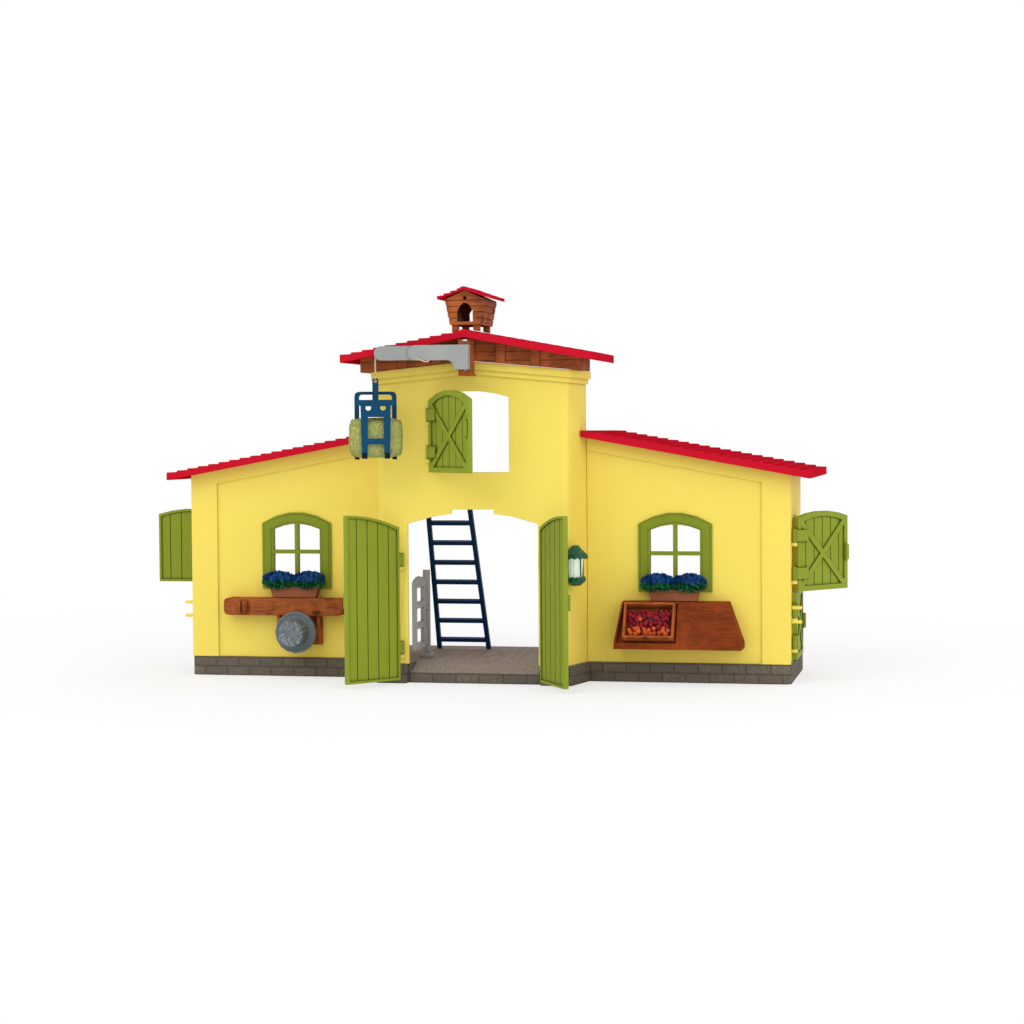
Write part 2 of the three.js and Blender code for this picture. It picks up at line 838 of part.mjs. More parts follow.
function wingRoof() {
  const inner = wingRoofInnerEdge;
  const outer = wingRoofHalfLength;
  const slab = swept(outline(courseOutline(inner, outer, wingRoofEaveTop, wingCourseCount, roofRimHeight)),
    wingRoofFront, wingRoofBack);
  const skinUnderAt = (x) => wingRoofTopAt(x) - roofSkinThickness;
  const pocketOutline = (x0, x1, depth) => outline([
    [x0, skinUnderAt(x0) - depth],
    [x1, skinUnderAt(x1) - depth],
    [x1, skinUnderAt(x1)],
    [x0, skinUnderAt(x0)],
  ]);
  const pocket = swept(pocketOutline(inner - overrun, outer - roofRimWidth, 2 * roofRimHeight),
    wingRoofFront + roofRimWidth, wingRoofBack - roofRimWidth);
  const ribs = [];
  for (let y = barnBack - roofUnderRibPitch; y > bayInnerWallBack; y -= roofUnderRibPitch) {
    const shape = pocketOutline(bayHalfWidth + overrun, barnHalfWidth - flangeWidth - overrun,
      roofUnderRibDepth);
    ribs.push(swept(shape, y, y + ribThickness).add(
      swept(pocketOutline(bayHalfWidth + overrun, barnHalfWidth - flangeWidth - overrun, -overlap),
        y, y + ribThickness)));
  }
  const returnSlope = (bayHalfWidth - towerHalfWidth) / wingSetBack;
  const edgeAt = (y) => towerHalfWidth + returnSlope * y + wallThickness * returnSlope + seatGap;
  const besideTower = raised(outline([
    [inner - overrun, wingRoofFront - overrun],
    [edgeAt(wingRoofFront - overrun), wingRoofFront - overrun],
    [edgeAt(wingSetBack) + seatGap, wingSetBack + seatGap],
    [inner - overrun, wingSetBack + seatGap],
  ]), 0, towerRidgeTop);
  return cut(join([slab.subtract(pocket), ...ribs]), [besideTower]);
}

// A roof that falls both ways from a ridge along Y, with a cap over the ridge.
function ridgedRoof(halfLength, ridgeTop, slopeShare, courseCount, thickness, front, back) {
  const eaveTop = ridgeTop - slopeShare * halfLength;
  const right = courseOutline(0, halfLength, eaveTop, courseCount, thickness, slopeShare);
  const topRight = right.slice(0, 2 * courseCount);
  const topLeft = topRight.slice(0, -1).map(([x, z]) => [-x, z]).reverse();
  const slab = swept(outline([
    ...topRight,
    ...topLeft,
    [-halfLength, eaveTop - thickness],
    [0, ridgeTop - thickness],
    [halfLength, eaveTop - thickness],
  ]), front, back);
  const cap = swept(outline([
    [-ridgeCapHalfWidth, ridgeTop - courseStep - overlap],
    [ridgeCapHalfWidth, ridgeTop - courseStep - overlap],
    [ridgeCapHalfWidth, ridgeTop - slopeShare * ridgeCapHalfWidth],
    [0, ridgeTop],
    [-ridgeCapHalfWidth, ridgeTop - slopeShare * ridgeCapHalfWidth],
  ]), front, back);
  return slab.add(cap);
}

function towerRoof() {
  const outer = towerRoofHalfLength;
  const slab = ridgedRoof(outer, towerRidgeTop, roofSlopeShare, towerCourseCount, roofRimHeight,
    towerRoofFront, towerRoofBack);
  const pocket = underSlope(towerRidgeTop - roofSkinThickness, roofSlopeShare, 0,
    towerRoofFront + roofRimWidth, towerRoofBack - roofRimWidth)
    .intersect(block(-outer + roofRimWidth, outer - roofRimWidth, towerRoofFront, towerRoofBack,
      0, towerRidgeTop));
  return slab.subtract(pocket);
}

// Wings

function wingFront() {
  const x0 = bayHalfWidth + seatGap;
  const x1 = barnHalfWidth;
  const top = wingRoofTopAt(0) - roofSkinThickness - seatGap;
  const front = wingSetBack;
  const back = front + wallThickness;
  const slab = block(x0, x1, front, back, wallBottom, towerRidgeTop);
  const pilaster = block(x1 - pilasterWidth, x1 + pilasterProud, front - pilasterProud, back,
    wallBottom, towerRidgeTop);
  const friezeLow = wingRoofTopAt(0) - roofRimHeight - friezeHeight;
  const frieze = block(x0, x1, front - friezeProud, back, wallBottom, towerRidgeTop)
    .subtract(underSlope(friezeLow, roofSlopeShare, 0, 0, back + overrun));
  const edge = windowPlugInset - seatGap;
  const opening = swept(arched(windowCentre - windowHalfWidth + edge, windowCentre + windowHalfWidth - edge,
    windowBottom + edge, windowSpring, windowCrown - edge), front - overrun, back + overrun, archSegments);
  const pegs = [pegLow, pegHigh].map((height) => rodX(front + pegSetBack, height, pegRadius,
    x1 + seatGap, x1 + pegLength));
  const pegBoss = block(x1 - wallThickness, x1 + pilasterProud, front, front + pegSetBack + 2 * pegRadius,
    pegLow - 2 * pegRadius, pegHigh + 2 * pegRadius)
    .subtract(block(0, x1 + seatGap, back, barnBack, 0, towerRidgeTop));
  const wall = join([slab, pilaster, frieze])
    .intersect(underSlope(top, roofSlopeShare, 0, 0, barnBack));
  return join([wall.subtract(opening), pegBoss, ...pegs]);
}

// An end wall in its own frame: its outer face is x = 0 and y = 0 is the doorway's middle.
function endWall() {
  const half = sideWallHalfLength;
  const slopeTop = (x) => wingRoofTopAt(barnHalfWidth + x) - roofSkinThickness - seatGap;
  const slab = swept(outline([
    [-wallThickness, wallBottom],
    [0, wallBottom],
    [0, slopeTop(0)],
    [-wallThickness, slopeTop(-wallThickness)],
  ]), -half, half);
  const flange = (y0, y1) => swept(outline([
    [-flangeWidth, wallBottom],
    [0, wallBottom],
    [0, slopeTop(0)],
    [-flangeWidth, slopeTop(-flangeWidth)],
  ]), y0, y1);
  const flanges = [flange(-half, -half + wallThickness), flange(half - wallThickness, half)];
  const opening = sideways(arched(-sideOpeningHalfWidth, sideOpeningHalfWidth, 0, sideOpeningSpring,
    sideOpeningCrown), -wallThickness - overrun, overrun, archSegments);
  const barrels = sideBarrels();
  const ears = barrels.map((height) => moved(hingeEar(height), hingeReach, -sideHingeOffset(), 0, 90));
  return join([cut(join([slab, ...flanges]), [opening]), ...ears]);
}

function sideHingeOffset() {
  return sideLeafWidth / 2 + overlayLeafStart;
}

function sideBarrels() {
  return [
    sideLowerBottom + sideBarrelInset,
    sideLowerTop - sideBarrelInset - barrelHeight,
    sideUpperBottom + sideBarrelInset,
    sideUpperTop - sideBarrelInset - barrelHeight,
  ];
}

function windowFrame() {
  const face = wingSetBack - seatGap;
  const flange = swept(arched(-windowHalfWidth, windowHalfWidth, windowBottom, windowSpring, windowCrown),
    face - windowFlange, face, archSegments);
  const inset = windowPlugInset;
  const plug = swept(arched(-windowHalfWidth + inset, windowHalfWidth - inset, windowBottom + inset,
    windowSpring, windowCrown - inset), face - overlap, wingSetBack + wallThickness + seatGap, archSegments);
  const paneHalf = windowHalfWidth - windowFrameWidth;
  const pane = swept(arched(-paneHalf, paneHalf, windowBottom + windowFrameWidth,
    windowSpring - windowFrameWidth / 2, windowCrown - windowFrameWidth),
  face - windowFlange - overrun, wingSetBack + wallThickness + overrun, archSegments);
  const bead = swept(arched(-windowHalfWidth + inset, windowHalfWidth - inset, windowBottom + inset,
    windowSpring, windowCrown - inset), face - windowFlange - windowBead, face - overlap, archSegments)
    .subtract(swept(arched(-paneHalf - inset, paneHalf + inset, windowBottom + windowFrameWidth - inset,
      windowSpring - windowFrameWidth / 2, windowCrown - windowFrameWidth + inset),
    face - windowFlange - overrun, face, archSegments));
  const bars = join([
    block(-muntinWidth / 2, muntinWidth / 2, face - windowFlange, wingSetBack + wallThickness,
      windowBottom + windowFrameWidth - overlap, windowCrown - windowFrameWidth + overlap),
    block(-paneHalf - overlap, paneHalf + overlap, face - windowFlange, wingSetBack + wallThickness,
      muntinHeight - muntinWidth / 2, muntinHeight + muntinWidth / 2),
  ]);
  return join([join([flange, plug, bead]).subtract(pane), bars]);
}

// Leaves, each in its own frame: the hinge line is z, the leaf runs along +x and its
// outer face looks along -y.
function leaf(form) {
  const x0 = form.start;
  const x1 = form.start + form.width;
  const back = form.front + leafThickness;
  const face = (inset) => (form.crown === undefined
    ? halfArched(x0 + inset, x1 - inset, form.bottom + inset, form.top - inset, form.freeTop - inset)
    : arched(x0 + inset, x1 - inset, form.bottom + inset, form.top - inset, form.crown - inset));
  const body = swept(face(0), form.front, back, archSegments);
  const innerField = swept(face(leafBorder / 2), back - leafRecess, back + overrun, archSegments);
  const outerField = swept(face(leafBorder), form.front - overrun, form.front + leafRecess, archSegments);
  const highest = Math.max(form.top, form.crown ?? form.freeTop);
  const fieldTop = form.top - leafBorder;
  const fieldBottom = form.bottom + leafBorder;
  const run = x1 - x0 - 2 * leafBorder;
  const rise = fieldTop - fieldBottom;
  const across = braceWidth / 2 * Math.hypot(run, rise) / run;
  const brace = (fromLeft) => {
    const left = fromLeft ? fieldBottom : fieldTop;
    const right = fromLeft ? fieldTop : fieldBottom;
    return swept(outline([
      [x0 + leafBorder, left - across],
      [x1 - leafBorder, right - across],
      [x1 - leafBorder, right + across],
      [x0 + leafBorder, left + across],
    ]), form.front - overrun, form.front + leafRecess + overlap);
  };
  const braces = join([brace(true), brace(false)]);
  const lines = [];
  const plankCount = Math.round(form.width / leafPlankWidth);
  for (let plank = 1; plank < plankCount; plank += 1) {
    const x = x0 + plank * form.width / plankCount - leafGrooveWidth / 2;
    lines.push(block(x, x + leafGrooveWidth, form.front - overrun, back + overrun, form.bottom, highest));
  }
  const grooveBack = back - leafRecess - leafGrooveDepth;
  const grooveFront = form.front + leafRecess + leafGrooveDepth;
  const backGrooves = join(lines).intersect(swept(face(leafBorder / 2), grooveBack, back + overrun,
    archSegments));
  const frontGrooves = join(lines).intersect(swept(face(leafBorder), form.front - overrun, grooveFront,
    archSegments)).subtract(braces);
  const barrels = form.barrels.map((height) => rodZ(0, 0, barrelRadius, height, height + barrelHeight));
  const strapDrop = form.proudStrap ? 0 : leafGrooveWidth;
  const strapFront = Math.min(form.front, (hingeReach - strapThickness) / 2) - strapDrop;
  const straps = form.barrels.map((height) => block(0, strapLength, strapFront,
    Math.max(strapFront + strapThickness, form.front + seatGap), height + leafGrooveWidth,
    height + barrelHeight - leafGrooveWidth));
  const bores = form.barrels.map((height) => rodZ(0, 0, barrelBore, height - overrun,
    height + barrelHeight + overrun));
  const latch = block(x1 - latchWidth - leafGrooveWidth, x1 - leafGrooveWidth, form.front - latchProud,
    form.front + overlap, form.latch, form.latch + latchHeight);
  const panel = cut(body, [innerField, outerField.subtract(braces), backGrooves, frontGrooves]);
  return cut(join([panel, ...barrels, ...straps, latch]), bores);
}

function mainLeaf() {
  return leaf({
    start: mainLeafStart,
    width: mainLeafWidth,
    front: mainLeafFront,
    bottom: mainLeafBottom,
    top: mainLeafHingeTop,
    freeTop: mainLeafFreeTop,
    barrels: [mainBarrelLow, mainBarrelHigh],
    latch: mainLatchBottom,
    proudStrap: true,
  });
}

function overlayFront() {
  return hingeReach - seatGap - leafThickness;
}

function loftLeaf() {
  return leaf({
    start: overlayLeafStart,
    width: loftLeafWidth,
    front: overlayFront(),
    bottom: loftSill,
    top: loftLeafTop,
    crown: loftLeafCrown,
    barrels: [loftBarrelLow, loftBarrelHigh],
    latch: (loftSill + loftLeafTop) / 2,
  });
}

function sideLeaf(bottom, top, crown, barrels) {
  return leaf({
    start: overlayLeafStart,
    width: sideLeafWidth,
    front: overlayFront(),
    bottom,
    top,
    crown,
    barrels,
    latch: (bottom + top - latchHeight) / 2,
  });
}

// Inside

function loftFloor() {
  const gap = wallThickness + seatGap;
  return raised(outline(bayCorners(-gap, bayInnerWallBack)), loftFloorTop - loftFloorThickness, loftFloorTop);
}

// The ladder is drawn flat, as X and Z, then leant forward to the loft floor's back edge.
function ladder() {
  const reachY = ladderFootBack - bayInnerWallBack - ladderThickness;
  const rise = loftFloorTop - floorTop;
  const length = Math.hypot(reachY, rise);
  const lean = Math.atan2(reachY, rise);
  const halfAt = (z) => ladderFootHalfWidth + (ladderTopHalfWidth - ladderFootHalfWidth) * z / length;
  const frame = outline([
    [-halfAt(0), 0],
    [halfAt(0), 0],
    [halfAt(length), length],
    [-halfAt(length), length],
  ]);
  const gaps = [];
  for (let rung = 0; rung <= ladderRungCount; rung += 1) {
    const above = ladderFirstRung + rung * ladderRungPitch;
    const low = rung === 0 ? -overrun : above - ladderRungPitch + ladderRungHeight;
    const high = Math.min(above, length);
    const inLow = halfAt(Math.max(low, 0)) - ladderBarWidth;
    const inHigh = halfAt(high) - ladderBarWidth;
    gaps.push(swept(outline([[-inLow, low], [inLow, low], [inHigh, high], [-inHigh, high]]),
      -overrun, ladderThickness + overrun));
  }
  const topRung = block(-halfAt(length), halfAt(length), 0, ladderThickness, length - overlap,
    length + ladderHookThickness);
  const flat = join([cut(swept(frame, 0, ladderThickness), gaps), topRung]);
  const geometry = geometryOf(flat);
  geometry.rotateX(lean);
  geometry.translate(ladderCentre, ladderFootBack - ladderThickness + ladderClear,
    floorTop + seatGap - ladderThickness * Math.sin(lean));
  const leaning = solidOf(geometry).intersect(block(-barnHalfWidth, 0, 0, barnBack, floorTop + seatGap,
    towerRidgeTop));
  const hook = block(ladderCentre - ladderTopHalfWidth, ladderCentre + ladderTopHalfWidth,
    bayInnerWallBack - ladderHookLength, bayInnerWallBack + ladderThickness + overlap, loftFloorTop + seatGap,
    loftFloorTop + seatGap + ladderHookThickness);
  return leaning.add(hook);
}

function gateHingeY() {
  return gateBack + barrelRadius + seatGap;
}

// The gate in its own frame: its hinge line is z and it runs along -y.
function stallGate() {
  const back = gateBack - gateHingeY();
  const front = gateFront - gateHingeY();
  const frame = outline([
    [front, gateBottom],
    [back, gateBottom],
    [back, gateTop - gateBarHeight, 0],
    [(front + back) / 2, gateTop, (back - front) / 4],
    [front, gateTop - gateBarHeight, 0],
  ]);
  const half = gateThickness / 2;
  const slab = sideways(frame, -half, half);
  const clear = gateTop - 2 * gateBarHeight - gateBottom;
  const pitch = clear / (gateBarCount - 1);
  const gaps = [];
  for (let bar = 0; bar < gateBarCount - 1; bar += 1) {
    const low = gateBottom + gateBarHeight + bar * pitch;
    gaps.push(block(-half - overrun, half + overrun, front + gateStileWidth, back - gateStileWidth,
      low, low + pitch - gateBarHeight));
  }
  const heights = gateBarrels();
  const barrels = heights.map((height) => rodZ(0, 0, barrelRadius, height, height + barrelHeight));
  const webs = heights.map((height) => block(-half, half, back - overlap, 0, height, height + barrelHeight));
  const bores = heights.map((height) => rodZ(0, 0, barrelBore, height - overrun,
    height + barrelHeight + overrun));
  return cut(join([cut(slab, gaps), ...webs, ...barrels]), bores);
}

function gateBarrels() {
  return [gateBottom + gateBarHeight, gateTop - gateBarHeight - 2 * barrelHeight];
}

function gatePost() {
  const half = gatePostWidth / 2;
  const foot = block(gateX - gatePostWidth, gateX + gatePostWidth, gatePostBack - gatePostWidth,
    gatePostBack + gatePostWidth, wallBottom, wallBottom + floorThickness);
  const post = block(gateX - half, gateX + half, gatePostBack - half, gatePostBack + half, wallBottom,
    gateTop);
  const cap = rodZ(gateX, gatePostBack, half + plankGrooveDepth, gateTop - overlap, gateTop + half);
  const reach = gatePostBack - gateHingeY();
  const ears = gateBarrels().map((height) => {
    const top = height - seatGap;
    return join([
      rodZ(gateX, gateHingeY(), barrelRadius, top - earThickness, top),
      block(gateX - barrelRadius, gateX + barrelRadius, gateHingeY(), gateHingeY() + reach,
        top - earThickness, top),
      rodZ(gateX, gateHingeY(), hingePinRadius, top - earThickness, height + barrelHeight - seatGap),
    ]);
  });
  return join([foot, post, cap, ...ears]);
}

// Things on the front wall

function troughOutline(grow, bottom, top) {
  const slope = (boxTopHalfWidth - boxBottomHalfWidth) / (boxTop - boxBottom);
  const halfAt = (z) => boxBottomHalfWidth + slope * (z - boxBottom) + grow;
  return outline([
    [-halfAt(bottom), bottom],
    [halfAt(bottom), bottom],
    [halfAt(top), top],
    [-halfAt(top), top],
  ]);
}

function flowerBox() {
  const back = wingSetBack - windowFlange - windowBead - 2 * seatGap;
  const trough = swept(troughOutline(0, boxBottom, boxTop), boxFront, back);
  const rim = swept(troughOutline(boxRim, boxTop - boxRimHeight, boxTop), boxFront - boxRim, back);
  const hollow = swept(troughOutline(-boxWall, boxBottom + boxWall, boxTop + overrun), boxFront + boxWall,
    back - boxWall);
  const hook = block(-boxBottomHalfWidth / 2, boxBottomHalfWidth / 2, back - overlap, wingSetBack - seatGap,
    boxBottom, windowBottom - seatGap);
  return join([join([trough, rim]).subtract(hollow), hook]);
}

// A row of leafy lumps that stand in a trough and hang over its rim.
function plants() {
  const back = wingSetBack - windowFlange - windowBead - 2 * seatGap;
  const lumps = [];
  for (let lump = 0; lump < plantLumpCount; lump += 1) {
    const share = lump / (plantLumpCount - 1) * 2 - 1;
    const swing = lump % 2 === 0 ? 1 : -1;
    const geometry = new THREE.IcosahedronGeometry(plantRadius + swing * plantSizeSwing, 1);
    geometry.translate(share * (plantHalfWidth - plantRadius), boxFront + plantForward + swing * plantShift,
      plantHeight + swing * plantShift);
    lumps.push(solidOf(geometry));
  }
  const soil = swept(troughOutline(-boxWall - seatGap, boxBottom + boxWall + seatGap, plantHeight),
    boxFront + boxWall + seatGap, back - boxWall - seatGap);
  const keepOut = swept(troughOutline(boxRim + seatGap, boxBottom - overrun, boxTop + seatGap),
    boxFront - boxRim - seatGap, back + overrun);
  const wallSide = block(-barnHalfWidth, barnHalfWidth, back, barnBack, 0, towerRidgeTop);
  return join([join(lumps).subtract(keepOut), soil]).subtract(wallSide);
}

function toolBoard() {
  const back = wingSetBack - seatGap;
  const face = swept(outline([
    [boardLeft, boardBottom, boardEndRadius],
    [boardRight, boardBottom, boardEndRadius],
    [boardRight, boardTop, boardEndRadius],
    [boardLeft, boardTop, boardEndRadius],
  ]), boardFront, back);
  const hollow = block(boardLeft + boardShell, boardRight - boardShell, boardFront + boardShell,
    back + overrun, boardBottom - overrun, boardTop - boardShell);
  const middle = (boardTop + boardBottom) / 2;
  const clip = join([
    rodZ(clipX, boardFront - clipRadius / 2, clipRadius, middle - clipHeight / 2, middle + clipHeight / 2,
      roundSegments),
  ]).subtract(rodZ(clipX, boardFront - clipRadius + clipBore / 2, clipBore, boardBottom, boardTop));
  const mouth = block(clipX - clipBore / 2, clipX + clipBore / 2, boardFront - 2 * clipRadius,
    boardFront - clipRadius + clipBore / 2, boardBottom, boardTop);
  return cut(join([face.subtract(hollow), clip]), [mouth]);
}

function grindBracket() {
  const back = wingSetBack - seatGap;
  const top = boardBottom - seatGap;
  const cheekOutline = outline([
    [back, bracketBottom],
    [back, top],
    [bracketFront, top],
    [bracketFront, stoneZ - overrun, overrun],
    [back - bracketShell, bracketBottom],
  ]);
  const cheeks = [-1, 1].map((side) => {
    const outer = stoneX + side * bracketHalfWidth;
    const inner = outer - side * bracketShell;
    return sideways(cheekOutline, Math.min(outer, inner), Math.max(outer, inner));
  });
  const plate = block(stoneX - bracketHalfWidth, stoneX + bracketHalfWidth, back - bracketShell, back,
    bracketBottom, top);
  const boss = rodY(stoneX, stoneZ, 2 * axleRadius, wheelFront + wheelThickness + seatGap, back - overlap,
    roundSegments);
  const headFront = drumFront + drumFaceThickness + seatGap;
  const axle = rodY(stoneX, stoneZ, axleRadius, headFront, back - overlap);
  const head = rodY(stoneX, stoneZ, axleHeadRadius, headFront, headFront + axleHeadThickness);
  return join([...cheeks, plate, boss, axle, head]);
}

function grindstone() {
  const wheelBack = wheelFront + wheelThickness;
  const wheel = rodY(stoneX, stoneZ, wheelRadius, wheelFront, wheelBack, roundSegments);
  const drum = rodY(stoneX, stoneZ, drumRadius, drumFront, wheelFront + overlap, roundSegments);
  const dish = rodY(stoneX, stoneZ, wheelRadius - wheelRim, wheelFront - overrun, wheelFront + wheelDishDepth,
    roundSegments).subtract(rodY(stoneX, stoneZ, drumRadius + wheelDishDepth, wheelFront - 2 * overrun,
    wheelFront + overrun, roundSegments));
  const pocketFront = drumFront + drumFaceThickness;
  const pocket = rodY(stoneX, stoneZ, axleHeadRadius + seatGap, pocketFront,
    pocketFront + axleHeadThickness + 2 * seatGap);
  const bore = rodY(stoneX, stoneZ, axleBore, pocketFront, wheelBack + overrun);
  return cut(join([wheel, drum]), [dish, pocket, bore]);
}

// The stand's sloping face, as the height above the wall that falls from the top to the lip.
function standSide(inset) {
  const back = wingSetBack - seatGap;
  return outline([
    [back + inset, standTop],
    [standTopFront + inset, standTop],
    [standBottomFront + inset, standBottom + standLip],
    [standBottomFront + inset, standBottom],
    [back + inset, standBottom],
  ]);
}

function standFront(inset) {
  return outline([
    [standBottomLeft + inset, standBottom - overrun],
    [standBottomRight - inset, standBottom - overrun],
    [standBottomRight - inset, standBottom + standLip],
    [standTopRight - inset, standTop - inset / 2],
    [standTopLeft + inset, standTop - inset / 2],
    [standBottomLeft + inset, standBottom + standLip],
  ]);
}

function standLeanDeg() {
  const rise = standTop - standBottom - standLip;
  return THREE.MathUtils.radToDeg(Math.atan2(standTopFront - standBottomFront, rise));
}

function produceStand() {
  const back = wingSetBack - seatGap;
  const body = sideways(standSide(0), standBottomLeft, standBottomRight)
    .intersect(swept(standFront(0), 0, back));
  const fieldFront = sideways(standSide(-standBayDepth), standBottomLeft, standBottomRight)
    .subtract(sideways(standSide(standBayDepth), standBottomLeft - overrun, standBottomRight + overrun));
  const bay = fieldFront.intersect(swept(standFront(standRim), -barnBack, back))
    .intersect(block(0, standDivider - standRim, -barnBack, back, standBottom + standLip,
      standTop - standRim));
  const hollow = sideways(standSide(standBayDepth + standShell), standBottomLeft, standBottomRight)
    .intersect(swept(standFront(standShell), 0, back + overrun))
    .intersect(block(0, barnHalfWidth, 0, back + overrun, standBottom + standShell, standTop - standShell));
  return cut(body, [bay, hollow]);
}

// The crate in its own frame: x across, y up the slope, z out of the slope.
function crate() {
  const outer = block(-crateWidth / 2, crateWidth / 2, 0, crateLength, 0, crateDepth);
  const halfIn = crateWidth / 2 - crateWall;
  const inner = block(-halfIn, halfIn, crateWall, crateLength - crateWall,
    crateFloor, crateDepth + overrun);
  const slots = [1, 2].map((step) => {
    const z = crateFloor + step * (crateDepth - crateFloor) / 3 - crateSlatGap / 2;
    return block(crateWall - halfIn, halfIn - crateWall, -overrun, crateWall + overrun, z, z + crateSlatGap);
  });
  return cut(outer, [inner, ...slots]);
}

function produce() {
  const lumps = [];
  const halfX = crateWidth / 2 - crateWall - seatGap - produceRadius;
  const lowY = crateWall + seatGap + produceRadius;
  const highY = crateLength - crateWall - seatGap - produceRadius;
  for (let row = 0; row < produceRows; row += 1) {
    for (let column = 0; column < produceColumns; column += 1) {
      const geometry = new THREE.IcosahedronGeometry(produceRadius, 1);
      const x = -halfX + 2 * halfX * column / (produceColumns - 1);
      const y = lowY + (highY - lowY) * row / (produceRows - 1);
      const lift = (row + column) % 2 === 0 ? produceLift : 0;
      geometry.translate(x, y, crateFloor + seatGap + produceRadius + lift);
      lumps.push(solidOf(geometry));
    }
  }
  const halfBed = crateWidth / 2 - crateWall - seatGap;
  const bed = block(-halfBed, halfBed, crateWall + seatGap, crateLength - crateWall - seatGap,
    crateFloor + seatGap, crateFloor + seatGap + produceRadius);
  return join([...lumps, bed]);
}

function onStand(mesh) {
  const slopeX = (standTopLeft + standDivider) / 2;
  mesh.rotation.x = Math.PI / 2 - THREE.MathUtils.degToRad(standLeanDeg());
  mesh.position.set(slopeX, standBottomFront + standBayDepth - seatGap, standBottom + standLip + seatGap);
  return mesh;
}

function lanternGlass() {
  const low = lanternBottom + lanternBaseHeight + seatGap;
  const high = lanternTop - lanternCapHeight - seatGap;
  return turned(lanternX, lanternY, [
    [0, low],
    [lanternGlassRadius, low],
    [lanternGlassTopRadius, high],
    [0, high],
  ]);
}

function lanternBody() {
  const capBottom = lanternTop - lanternCapHeight;
  const base = turned(lanternX, lanternY, [
    [0, lanternBottom],
    [lanternBaseRadius / 2, lanternBottom],
    [lanternBaseRadius, lanternBottom + lanternBaseHeight / 2],
    [lanternBaseRadius, lanternBottom + lanternBaseHeight],
    [0, lanternBottom + lanternBaseHeight],
  ]);
  const cap = turned(lanternX, lanternY, [
    [0, capBottom],
    [lanternCapRadius, capBottom],
    [lanternCapRadius, capBottom + lanternCapHeight / 4],
    [lanternGlassRadius, capBottom + lanternCapHeight * 2 / 3],
    [lanternGlassRadius / 2, lanternTop],
    [0, lanternTop],
  ]);
  const post = (angle) => {
    const reach = lanternGlassTopRadius + seatGap + stringRadius;
    return rodZ(lanternX + reach * Math.cos(angle), lanternY + reach * Math.sin(angle), stringRadius,
      lanternBottom + lanternBaseHeight - overlap, capBottom + overlap);
  };
  const posts = [0, 1, 2, 3].map((quarter) => post((quarter + 0.5) * Math.PI / 2));
  const armBack = wingSetBack / 2;
  const arm = (z0) => block(lanternX - lanternArmWidth, lanternX, lanternY, armBack, z0,
    z0 + lanternArmHeight);
  const tower = raised(outline(bayCorners(seatGap, wingSetBack)), 0, towerRidgeTop);
  const whole = join([base, cap, ...posts, arm(lanternBottom + overlap), arm(capBottom + overlap)]);
  return whole.subtract(tower);
}

// Dovecote

function coteOutline(grow, bottom, top) {
  const slope = (coteTopHalfWidth - coteBottomHalfWidth) / (coteEaves - coteBottom);
  const halfAt = (z) => coteBottomHalfWidth + slope * (z - coteBottom) + grow;
  const apex = coteRoofApex - coteRoofThickness - seatGap;
  const roofSlope = coteRoofSlope();
  return outline([
    [-halfAt(bottom), bottom],
    [halfAt(bottom), bottom],
    [halfAt(top), Math.min(top, apex - roofSlope * halfAt(top))],
    [0, apex],
    [-halfAt(top), Math.min(top, apex - roofSlope * halfAt(top))],
  ]);
}

function coteRoofSlope() {
  const eaveTop = coteEaves + coteRoofThickness;
  return (coteRoofApex - eaveTop) / coteRoofHalfLength;
}

function dovecoteBody() {
  const body = swept(coteOutline(0, coteBottom, coteEaves), coteFront, coteBack);
  const hollow = swept(outline([
    [-coteBottomHalfWidth + coteWall, coteBottom + coteWall],
    [coteBottomHalfWidth - coteWall, coteBottom + coteWall],
    [coteTopHalfWidth - coteWall, coteEaves - coteWall],
    [-coteTopHalfWidth + coteWall, coteEaves - coteWall],
  ]), coteFront + coteWall, coteBack - coteWall);
  const door = swept(arched(-coteDoorHalfWidth, coteDoorHalfWidth, coteBottom + coteWall, coteDoorSpring,
    coteEaves - coteWall), coteFront - overrun, coteBack + overrun, archSegments);
  const hole = rodY(0, coteHoleHeight, coteHoleRadius, coteFront - overrun, coteBack + overrun);
  const grooves = [];
  for (let z = coteBottom + coteGroovePitch; z < coteEaves; z += coteGroovePitch) {
    grooves.push(block(-coteTopHalfWidth - overrun, coteTopHalfWidth + overrun, coteFront - overrun,
      coteBack + overrun, z, z + plankGrooveWidth)
      .subtract(swept(coteOutline(-plankGrooveDepth, coteBottom - overrun, coteEaves),
        coteFront + plankGrooveDepth, coteBack - plankGrooveDepth)));
  }
  const roofTop = (x) => towerRidgeTop - roofSlopeShare * x + seatGap;
  const feet = [-1, 1].flatMap((side) => [coteFront + coteWall, coteBack - 3 * coteWall].map((y) => {
    const x0 = coteFootOffset - coteFootHalfWidth;
    const x1 = coteFootOffset + coteFootHalfWidth;
    const foot = swept(outline([
      [side * x0, roofTop(x0)],
      [side * x1, roofTop(x1)],
      [side * x1, coteBottom + overlap],
      [side * x0, coteBottom + overlap],
    ]), y, y + 2 * coteWall);
    return foot;
  }));
  return join([cut(body, [hollow, door, hole, ...grooves]), ...feet]);
}

function dovecoteRoof() {
  return ridgedRoof(coteRoofHalfLength, coteRoofApex, coteRoofSlope(), coteCourseCount, coteRoofThickness,
    coteFront - coteRoofOverhang, coteBack + coteRoofOverhang);
}

// Crane

